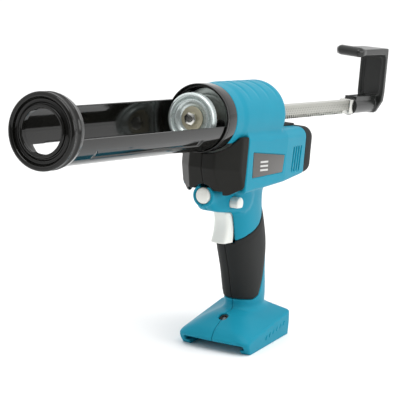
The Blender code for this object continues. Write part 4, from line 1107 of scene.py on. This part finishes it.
    def outside(self, x: Array, y: Array, z: Array) -> Array:
        """The whole body before anything is cut from it."""
        upper = joined(self.barrel(x, y, z), self.housing(x, y, z), 3.0)
        grip = self.grip(x, y, z)
        neck = np.maximum(grip, self.grip_span(x, z))
        lower = joined(neck, self.front_bridge(x, y, z), 6.0)
        lower = joined(lower, self.boss(x, y, z), 1.6)
        d = joined(upper, lower, 7.0)
        return joined(d, self.foot(x, y, z), 5.0)

    def hollow(self, x: Array, y: Array, z: Array) -> Array:
        """The space inside, which leaves the wall."""
        _, height = standing(x, z)
        wall = self.wall
        rooms = np.minimum(self.barrel(x, y, z, wall), self.housing(x, y, z, wall))
        grip = np.maximum(self.grip(x, y, z, self.grip_wall), self.grip_span(x, z))
        rooms = np.minimum(rooms, grip)
        foot = np.maximum(self.foot(x, y, z) + wall, self.hollow_floor - height)
        return np.minimum(rooms, foot)


@dataclass
class GripPads:
    """The rubber pads on the handle: one each side and one down the back."""

    maker: Maker
    form: BodyForm
    body: str = "body"
    depth: float = 2.3
    proud: float = 0.45
    groove: float = 0.35
    mouth: tuple[tuple[float, ...], ...] = ((46.0, -8.1, -110.4), (80.0, 8.1, -81.4))
    side: tuple[Point, ...] = ((55.0, -110.5), (64.0, -109.8), (72.0, -107.0), (81.0, -102.8), (89.5, -99.2),
                               (96.5, -94.8), (101.5, -88.8), (105.0, -82.5), (109.5, -77.5), (115.0, -81.0),
                               (119.5, -92.0), (121.5, -104.0), (121.3, -114.0), (115.5, -143.0),
                               (108.5, -162.5), (70.0, -162.5))
    rear: tuple[Point, ...] = ((124.5, -103.0), (146.0, -103.0), (148.0, -163.5), (130.0, -163.5),
                               (126.5, -128.0))
    step: float = 0.7

    def build(self) -> None:
        """Builds the three pads."""
        for name, outline, low, high in (("left", self.side, -26.0, 0.6), ("right", self.side, -0.6, 26.0),
                                         ("rear", self.rear, -20.0, 20.0)):
            xs, zs = [p[0] for p in outline], [p[1] for p in outline]
            far = (min(max(xs) + 2.0, 146.0), high, max(zs) + 2.0)
            lattice = Lattice((min(xs) - 1.0, low, min(zs) - 2.0), far, self.step)
            sign = {"left": 1.0, "right": -1.0, "rear": 0.0}[name]
            pad = self.maker.moulding(f"grip_rubber_{name}", self._shape(outline, sign), lattice, RUBBER)
            self.maker.place(pad, self.body, RUBBER, f"grip_pad_{name}")

    def recess(self, x: Array, y: Array, z: Array) -> Array:
        """The pockets that the pads sit in."""
        sides = outlined(x, z, softened(self.side, 1, 0.15))
        region = np.minimum(sides, outlined(x, z, softened(self.rear, 1))) - self.groove
        return np.maximum(region, -(self.form.grip(x, y, z) + self.depth))

    def _shape(self, outline: Sequence[Point], sign: float) -> Shape:
        """One pad, which keeps clear of its pocket and of the body's middle plane."""
        region_points = softened(outline, 1, 0.15)

        def shape(x: Array, y: Array, z: Array) -> Array:
            grip = self.form.grip(x, y, z)
            region = outlined(x, z, region_points) + 0.28
            bulge = self.proud * np.clip(-region / 6.0, 0.0, 1.0) + 0.15
            d = shared(grip - bulge, region, 1.3)
            d = np.maximum(d, -(grip + self.depth - 0.3))
            if sign:
                d = shared(d, sign * y + 0.12, 0.5)
                d = without(d, block(x, y, z, *self.mouth), 0.5)
            return d

        return shape


@dataclass
class BodyShells:
    """The two body halves, with their openings."""

    maker: Maker
    form: BodyForm
    pads: GripPads
    body: str = "body"
    vents: tuple[float, ...] = (126.5, 132.0, 137.5, 143.0)
    vent_z: Point = (-49.0, -27.0)
    vent_half_w: float = 1.25
    vent_lean: float = 0.1
    label: tuple[Point, ...] = ((48.0, -27.7), (106.0, -32.9), (104.0, -47.5), (49.5, -49.0))
    button: Point = (50.5, -72.6)
    button_radius: float = 5.9
    button_flat: float = -3.9
    lamp: Point = (54.8, 23.9)
    lamp_lean_deg: float = -35.0
    screws: tuple = ((84.0, 17.0, 20.0), (96.0, -62.0, 17.5), (108.0, -103.0, 12.0))
    step: float = 0.9

    def build(self) -> None:
        """Builds both halves."""
        for name, sign in (("left", 1.0), ("right", -1.0)):
            low, high = (-36.0, 0.9) if sign > 0 else (-0.9, 36.0)
            lattice = Lattice((14.0, low, -207.0), (155.0, high, 31.5), self.step)
            shell = self.maker.moulding(f"body_half_{name}", self._half(sign), lattice, TEAL)
            self.maker.place(shell, self.body, TEAL, f"body_shell_{name}")

    def _half(self, sign: float) -> Shape:
        """One half, with its rim just short of the middle plane and its edge there rounded."""
        def shape(x: Array, y: Array, z: Array) -> Array:
            solid = self.form.outside(x, y, z)
            solid = without(solid, self.openings(x, y, z, sign), 0.5)
            solid = shared(solid, sign * y + 0.12, 0.55)
            return np.maximum(solid, -self.form.hollow(x, y, z))

        return shape

    def openings(self, x: Array, y: Array, z: Array, sign: float) -> Array:
        """Everything that is cut through or into the wall from outside."""
        sx, height = standing(x, z)
        cuts = block(x, y, z, (10.0, -20.4, -58.5), (42.0, 20.4, -8.0))
        cuts = np.minimum(cuts, np.maximum(np.hypot(y, z) - 26.7, x - 22.0))
        cuts = np.minimum(cuts, np.maximum(np.hypot(y, z) - 11.1, 98.0 - x))
        cuts = np.minimum(cuts, np.maximum(np.hypot(y, z - self.form.dial_z) - 7.2, x - 34.0))
        cuts = np.minimum(cuts, self.button_bore(x, y, z))
        cuts = np.minimum(cuts, block(x, y, z, *self.pads.mouth))
        cuts = np.minimum(cuts, self._vents(x, y, z))
        if sign > 0:
            recess = np.maximum(outlined(x, z, self.label) - 0.5, y + self.form.housing_half_w[0] - 0.75)
            cuts = np.minimum(cuts, recess)
        seat = block(x, y, z, (111.7, -12.3, -12.3), (160.0, 12.3, -5.0))
        cuts = np.minimum(cuts, seat)
        throat = block(sx, y, height, (20.0, -25.0, -4.0), (100.0, 25.0, 5.0))
        slot = block(sx, y, height, (20.0, -29.0, 4.0), (100.0, 29.0, 8.5))
        well = block(sx, y, height, (62.0, -13.3, 7.5), (97.3, 13.3, 20.0))
        cuts = np.minimum(cuts, np.minimum(throat, np.minimum(slot, well)))
        cuts = np.minimum(cuts, self.pads.recess(x, y, z))
        cuts = np.minimum(cuts, self._lamp_bore(sx, y, height))
        if sign < 0:
            for at_x, at_z, reach in self.screws:
                sink = np.maximum(np.hypot(x - at_x, z - at_z) - 3.5, reach - 4.0 - y)
                cuts = np.minimum(cuts, sink)
        return cuts

    def button_bore(self, x: Array, y: Array, z: Array, grow: float = 0.0) -> Array:
        """The lock-off button's bore, round with a flat below."""
        ring = np.hypot(x - self.button[0], z - self.button[1]) - self.button_radius - grow
        return np.maximum(ring + 0.0 * y, self.button[1] + self.button_flat - grow - z)

    def _vents(self, x: Array, y: Array, z: Array) -> Array:
        """The four leaning slots in each side of the housing."""
        low, high = self.vent_z
        lean = self.vent_lean * (high - z)
        near = np.min([np.abs(x + lean - at) for at in self.vents], axis=0) - self.vent_half_w
        tall = np.abs(z - 0.5 * (low + high)) - 0.5 * (high - low)
        return np.maximum(np.maximum(near, tall), 21.0 - np.abs(y))

    def _lamp_bore(self, sx: Array, y: Array, height: Array) -> Array:
        """The bore in the foot's front slope that the lamp sits in."""
        lean = math.radians(self.lamp_lean_deg)
        u, v = sx - self.lamp[0], height - self.lamp[1]
        along, across = u * math.sin(lean) + v * math.cos(lean), u * math.cos(lean) - v * math.sin(lean)
        return np.maximum(np.hypot(across, y) - 4.3, np.maximum(along - 8.0, -5.0 - along))


@dataclass
class GearCovers:
    """The faceted dark covers ahead of the housing, parted down the middle."""

    maker: Maker
    form: BodyForm
    body: str = "body"
    top: float = -14.0
    bottom: float = -64.5
    bend: float = -42.0
    lean: float = 10.0
    front: float = 13.0
    rear: float = 38.0
    chamfer_normal: Point = (0.646, -0.763)
    chamfer_at: Point = (27.0, -65.5)
    wall: float = 2.5
    step: float = 0.7

    def build(self) -> None:
        """Builds both covers."""
        for name, sign in (("left", 1.0), ("right", -1.0)):
            low, high = (-31.5, 0.8) if sign > 0 else (-0.8, 31.5)
            lattice = Lattice((11.0, low, -67.0), (40.0, high, -10.0), self.step)
            cover = self.maker.moulding(f"faceted_cover_{name}", self._half(sign), lattice, COVER_BLACK)
            self.maker.place(cover, self.body, COVER_BLACK, f"gear_cover_{name}")

    def _facets(self, x: Array, y: Array, z: Array, inset: float) -> Array:
        """The cover's sides and faces, whose lower part leans back."""
        side = np.abs(y)
        lean = self.lean * np.clip((self.bend - z) / (self.bend - self.bottom), 0.0, 1.3)
        steep = 0.92 if inset == 0.0 else 1.0
        soft = 0.8 if inset == 0.0 else 0.3
        face = self.front + lean - x
        facet = (-0.696 * (x - self.front - 0.75 * lean) + 0.717 * (side - 12.0)) * steep
        flank = -0.184 * (x - 30.0 - 0.5 * lean) + 0.983 * (side - 28.5)
        d = shared(shared(face * steep, facet, soft), flank, soft)
        ends = shared(z - self.top, self.bottom - z, soft)
        return shared(d, ends, soft) + inset

    def _half(self, sign: float) -> Shape:
        """One cover, hollow and open at the rear."""
        def shape(x: Array, y: Array, z: Array) -> Array:
            d = self._facets(x, y, z, 0.0)
            edge = rounded_box(x - 10.0, z + 30.0, self.rear - 10.0, 34.3, 5.5)
            d = shared(d, np.where(z < -45.0, edge, x - self.rear), 1.2)
            (nx, nz), (cx, cz) = self.chamfer_normal, self.chamfer_at
            d = shared(d, nx * (x - cx) + nz * (z - cz), 1.0)
            barrel = np.hypot(y, z) - self.form.barrel_radius - 0.35
            boss = np.hypot(y, z - self.form.dial_z) - self.form.boss_radius - 0.35
            bridge = np.maximum(z + 60.8, np.abs(y) - 16.0)
            for gone in (barrel, boss, bridge):
                d = without(d, gone, 0.6)
            d = shared(d, sign * y + 0.12, 0.5)
            return np.maximum(d, -np.maximum(self._facets(x, y, z, self.wall), -60.0 - z))

        return shape


@dataclass
class RearBumper:
    """The rubber bumper behind the housing, ribbed across, with a strip along the housing's top."""

    maker: Maker
    body: str = "body"
    xs: tuple[float, ...] = (153.0, 166.0, 175.0)
    half_w: tuple[float, ...] = (26.5, 25.6, 20.0)
    top: tuple[float, ...] = (-11.5, -12.4, -18.0)
    bottom: tuple[float, ...] = (-53.0, -52.4, -47.0)
    strip: tuple = ((112.0, -12.0, -12.0), (156.0, 12.0, -9.5))
    rib_period: float = 6.4
    rib_height: float = 0.5
    step: float = 0.7

    def build(self) -> None:
        """Builds the bumper with its strip."""
        lattice = Lattice((110.5, -28.0, -55.0), (176.5, 28.0, -8.0), self.step)
        bumper = self.maker.moulding("ribbed_rear_bumper", self.shape, lattice, RUBBER)
        self.maker.place(bumper, self.body, RUBBER, "rear_bumper")

    def shape(self, x: Array, y: Array, z: Array) -> Array:
        """Distance to the bumper."""
        half_w, top = along_run(x, self.xs, self.half_w), along_run(x, self.xs, self.top)
        bottom = along_run(x, self.xs, self.bottom)
        middle, half = 0.5 * (top + bottom), 0.5 * (top - bottom)
        corner = np.where(z > middle, 9.0, 8.0)
        section = rounded_box(y, z - middle, half_w, half, corner)
        ribs = self.rib_height * (1.0 - np.cos(2 * np.pi * (z + 14.0) / self.rib_period))
        back = x - self.xs[-1] + ribs * np.clip((x - 158.0) / 8.0, 0.0, 1.0)
        d = shared(section * 0.9, back, 5.5)
        d = shared(d, self.xs[0] - x, 0.7)
        room = np.maximum(rounded_box(y, z - middle, half_w - 4.0, half - 4.0, 4.0), x - 164.0)
        d = np.maximum(d, -room)
        strip = shared(block(x, y, z, *self.strip), np.abs(y) - 11.9, 0.6)
        return joined(d, strip, 0.8)


# --- Body details -------------------------------------------------------------------------------
@dataclass
class BodyDetails:
    """The label, the lamp and the foot's raised dashes."""

    maker: Maker
    shells: BodyShells
    body: str = "body"
    label_y: Point = (-30.0, -29.45)
    bars: int = 3
    bar_start: Point = (60.5, -36.4)
    bar_step: float = -3.5
    dashes: int = 6
    dash_start: Point = (80.0, 8.3)
    dash_step: Point = (6.4, 0.9)

    def build(self) -> None:
        """Builds and places each of them."""
        low, high = self.label_y
        plate = prism(filleted(self.shells.label, 1.2), low, high, bevel=0.12)
        label = self.maker.from_bmesh("side_label", plate, LABEL)
        self.maker.place(label, self.body, LABEL, "label_plate")
        x, z = self.bar_start
        bar = prism([(-7.0, -0.75), (7.0, -1.0), (7.0, 0.6), (-7.0, 0.9)], low - 0.04, low + 0.1, bevel=0.02)
        row = Repeat(self.bars, (x + 8.0, 0.0, z), step=(0.3, 0.0, self.bar_step))
        bars = self.maker.from_mesh("label_bars", row.mesh("label_bar_row", bar, LABEL_INK), LABEL_INK)
        self.maker.place(bars, self.body, LABEL_INK)
        self.lamp()
        x, z = self.dash_start
        dash = prism([(-1.6, -1.6), (-0.2, -1.9), (2.0, 1.7), (0.8, 2.0)], -0.3, 0.25, bevel=0.12)
        row = Repeat(self.dashes, (x - 10.0, -34.55, z), step=(self.dash_step[0], 0.0, self.dash_step[1]))
        dashes = row.mesh("foot_dash_row", dash, TEAL)
        marks = self.maker.from_mesh("foot_dashes", dashes, TEAL, Space.STANDING)
        self.maker.place(marks, self.body, TEAL)

    def lamp(self) -> None:
        """The lamp's dark bezel and its clear lens."""
        bezel = [(4.0, -3.0), (4.0, 0.0), (3.7, 0.35), (3.1, 0.35), (2.6, -0.4), (2.5, -3.0)]
        lens = [(2.3, -1.6), (2.3, -0.9), (1.6, -0.55), (0.02, -0.45), (0.02, -1.6)]
        for name, profile, finish, node in (("lamp_ring", bezel, DARK_PLASTIC, "lamp_bezel"),
                                            ("lamp_glass", lens, LENS, "lamp_lens")):
            bm = bmesh.new()
            rows = []
            for i in range(64):
                a = 2 * math.pi * i / 64
                rows.append([bm.verts.new((r * math.cos(a), r * math.sin(a), h)) for r, h in profile])
            for first, second in zip(rows, rows[1:] + rows[:1]):
                for j in range(len(profile)):
                    k = (j + 1) % len(profile)
                    bm.faces.new((first[j], first[k], second[k], second[j]))
            x, height = self.shells.lamp
            lean = Matrix.Rotation(math.radians(self.shells.lamp_lean_deg), 4, "Y")
            bm.transform(Matrix.Translation((x, 0, height)) @ lean)
            self.maker.place(self.maker.from_bmesh(name, bm, finish, Space.STANDING), self.body, finish, node)


# --- Controls -----------------------------------------------------------------------------------
@dataclass
class Controls:
    """The trigger, the lock-off button and the speed dial."""

    maker: Maker
    shells: BodyShells
    trigger_x: float = 51.5
    trigger_front: tuple[Point, ...] = ((0.4, -109.6), (2.2, -105.0), (3.4, -100.0), (3.7, -95.0),
                                        (3.0, -89.5), (1.6, -85.5), (0.2, -82.1))
    button_y: Point = (-21.0, 17.0)
    dial_front: float = 18.6

    def build(self) -> None:
        """Builds and places the three."""
        lattice = Lattice((50.5, -9.0, -111.0), (84.0, 9.0, -80.5), 0.45)
        trigger = self.maker.moulding("trigger_blade", self.trigger, lattice, WHITE)
        self.maker.place(trigger, "trigger", WHITE, "trigger")
        x, z = self.shells.button
        low, high = self.button_y
        lattice = Lattice((x - 7.0, low - 1.5, z - 7.0), (x + 7.0, high + 1.5, z + 7.0), 0.45)
        button = self.maker.moulding("lock_button", self.lock_button, lattice, WHITE)
        self.maker.place(button, "lock_off_button", WHITE, "lock_off_button")
        front = self.dial_front
        profile = [(0.02, front), (3.0, front + 0.25), (5.1, front + 0.8),
                   (6.3, front + 1.5), (6.85, front + 2.4),
                   (6.9, front + 3.2), (6.9, front + 13.0), (0.02, front + 13.0)]
        dial = self.maker.turning("domed_dial", profile, WHITE, (0.0, self.shells.form.dial_z), steps=96,
                                  sharp_deg=60)
        self.maker.place(dial, "speed_dial", WHITE, "speed_dial")

    def trigger(self, x: Array, y: Array, z: Array) -> Array:
        """Distance to the trigger, with its plunger."""
        heights = [point[1] for point in self.trigger_front]
        reach = along_run(z, heights, [point[0] for point in self.trigger_front])
        face = shared((self.trigger_x + reach - x) * 0.97, np.abs(y) - 7.4, 5.0)
        ends = np.maximum(np.abs(z - 0.5 * (heights[0] + heights[-1])) - 0.5 * (heights[-1] - heights[0]),
                          x - self.trigger_x - 16.5)
        d = shared(face, ends, 1.2)
        plunger = np.maximum(np.hypot(y, z + 91.0) - 2.0, np.maximum(64.0 - x, x - 82.0))
        return np.minimum(d, plunger)

    def lock_button(self, x: Array, y: Array, z: Array) -> Array:
        """Distance to the lock-off button."""
        low, high = self.button_y
        section = self.shells.button_bore(x, y, z, -0.3)
        dome = 0.05 * ((x - self.shells.button[0]) ** 2 + (z - self.shells.button[1]) ** 2) / 1.6
        return shared(section, np.maximum(low + dome - y, y + dome - high), 0.9)


# --- Inside -------------------------------------------------------------------------------------
def finish_inner_nodes() -> None:
    """Gives each CAD node that stays in view its slot's finish."""
    slots = {part["node"]: part["material_slot"] for part in frame["record"]["subparts"]}
    for node, obj in frame["nodes"].items():
        finish = SLOT_FINISHES[slots[node]]
        if not obj.material_slots:
            obj.data.materials.append(finish.material())
        for material_slot in obj.material_slots:
            material_slot.material = finish.material()


# --- Studio -------------------------------------------------------------------------------------
@dataclass
class Studio:
    """A pale floor under soft light, and the camera."""

    camera_at: tuple[float, float, float] = (-1331.79, -723.36, 523.47)
    camera_yaw_deg: float = 29.504
    camera_pitch_deg: float = 14.615
    camera_roll_deg: float = 1.4226
    lens: float = 164.244
    sensor: float = 36.0
    floor_half: float = 9000.0
    floor_colour: tuple[float, float, float, float] = (0.94, 0.94, 0.94, 1.0)

    def build(self) -> None:
        """Makes the floor, the light and the camera."""
        self.floor()
        self.world()
        self.lights()
        self.camera()
        bpy.context.scene.view_settings.view_transform = "Standard"

    def floor(self) -> None:
        """A plain pale floor."""
        h = self.floor_half * MM
        mesh = bpy.data.meshes.new("studio_floor")
        mesh.from_pydata([(-h, -h, 0), (h, -h, 0), (h, h, 0), (-h, h, 0)], [], [(0, 1, 2, 3)])
        paint = bpy.data.materials.new("floor_paint")
        paint.use_nodes = True
        shader = paint.node_tree.nodes["Principled BSDF"]
        shader.inputs["Base Color"].default_value = self.floor_colour
        shader.inputs["Roughness"].default_value = 1.0
        shader.inputs["Specular IOR Level"].default_value = 0.0
        mesh.materials.append(paint)
        floor = bpy.data.objects.new("studio_floor", mesh)
        bpy.context.scene.collection.objects.link(floor)

    def world(self) -> None:
        """Soft light from all round, dimmer from the side that the camera is on."""
        world = bpy.data.worlds.new("studio_light")
        bpy.context.scene.world = world
        world.use_nodes = True
        tree = world.node_tree
        nodes, links = tree.nodes, tree.links
        background = nodes["Background"]
        way = nodes.new("ShaderNodeTexCoord")
        dot = nodes.new("ShaderNodeVectorMath")
        dot.operation = "DOT_PRODUCT"
        yaw = math.radians(self.camera_yaw_deg)
        dot.inputs[1].default_value = (-math.cos(yaw), -math.sin(yaw), 0.05)
        links.new(way.outputs["Generated"], dot.inputs[0])
        ramp = nodes.new("ShaderNodeMapRange")
        ramp.interpolation_type = "SMOOTHSTEP"
        for label, value in (("From Min", 0.35), ("From Max", 0.92), ("To Min", 1.12), ("To Max", 0.18)):
            ramp.inputs[label].default_value = value
        links.new(dot.outputs["Value"], ramp.inputs["Value"])
        background.inputs["Color"].default_value = (1.0, 1.0, 1.0, 1.0)
        links.new(ramp.outputs["Result"], background.inputs["Strength"])

    def lights(self) -> None:
        """One broad soft light from above and one from the near side."""
        for name, at, size, power in (("top_light", (-0.3, -0.6, 2.2), 1.6, 24.0),
                                      ("side_light", (0.2, -2.4, 1.0), 1.2, 14.0)):
            lamp = bpy.data.lights.new(name, "AREA")
            lamp.shape, lamp.size, lamp.energy = "DISK", size, power
            obj = bpy.data.objects.new(name, lamp)
            obj.location = at
            obj.rotation_euler = (Vector((0, 0, 0.13)) - Vector(at)).to_track_quat("-Z", "Y").to_euler()
            bpy.context.scene.collection.objects.link(obj)

    def camera(self) -> None:
        """The camera ahead of the nozzle and to the gun's left."""
        yaw, pitch = math.radians(self.camera_yaw_deg), math.radians(self.camera_pitch_deg)
        roll = math.radians(self.camera_roll_deg)
        ahead = Vector((math.cos(yaw) * math.cos(pitch), math.sin(yaw) * math.cos(pitch), -math.sin(pitch)))
        right = Vector((math.sin(yaw), -math.cos(yaw), 0))
        up = right.cross(ahead)
        turned_right = math.cos(roll) * right + math.sin(roll) * up
        turned_up = math.cos(roll) * up - math.sin(roll) * right
        data = bpy.data.cameras.new("studio_camera")
        data.lens, data.sensor_width, data.sensor_fit = self.lens, self.sensor, "HORIZONTAL"
        data.clip_start, data.clip_end = 0.05, 60.0
        obj = bpy.data.objects.new("studio_camera", data)
        turn = Matrix((turned_right, turned_up, -ahead)).transposed()
        obj.matrix_world = Matrix.Translation(Vector(self.camera_at) * MM) @ turn.to_4x4()
        bpy.context.scene.collection.objects.link(obj)
        bpy.context.scene.camera = obj


def main() -> None:
    """Builds the whole scene."""
    logging.basicConfig(level=logging.INFO, format="%(message)s")
    maker = Maker()
    coarse = 1.0
    form = BodyForm()
    finish_inner_nodes()
    CartridgeHolder(maker).build()
    FrontPlate(maker).build()
    PushRod(maker).build()
    pads = GripPads(maker, form, step=0.7 * coarse)
    pads.build()
    shells = BodyShells(maker, form, pads, step=0.9 * coarse)
    shells.build()
    GearCovers(maker, form, step=0.7 * coarse).build()
    RearBumper(maker, step=0.7 * coarse).build()
    BodyDetails(maker, shells).build()
    Controls(maker, shells).build()
    Studio().build()


if __name__ == "__main__":
    main()
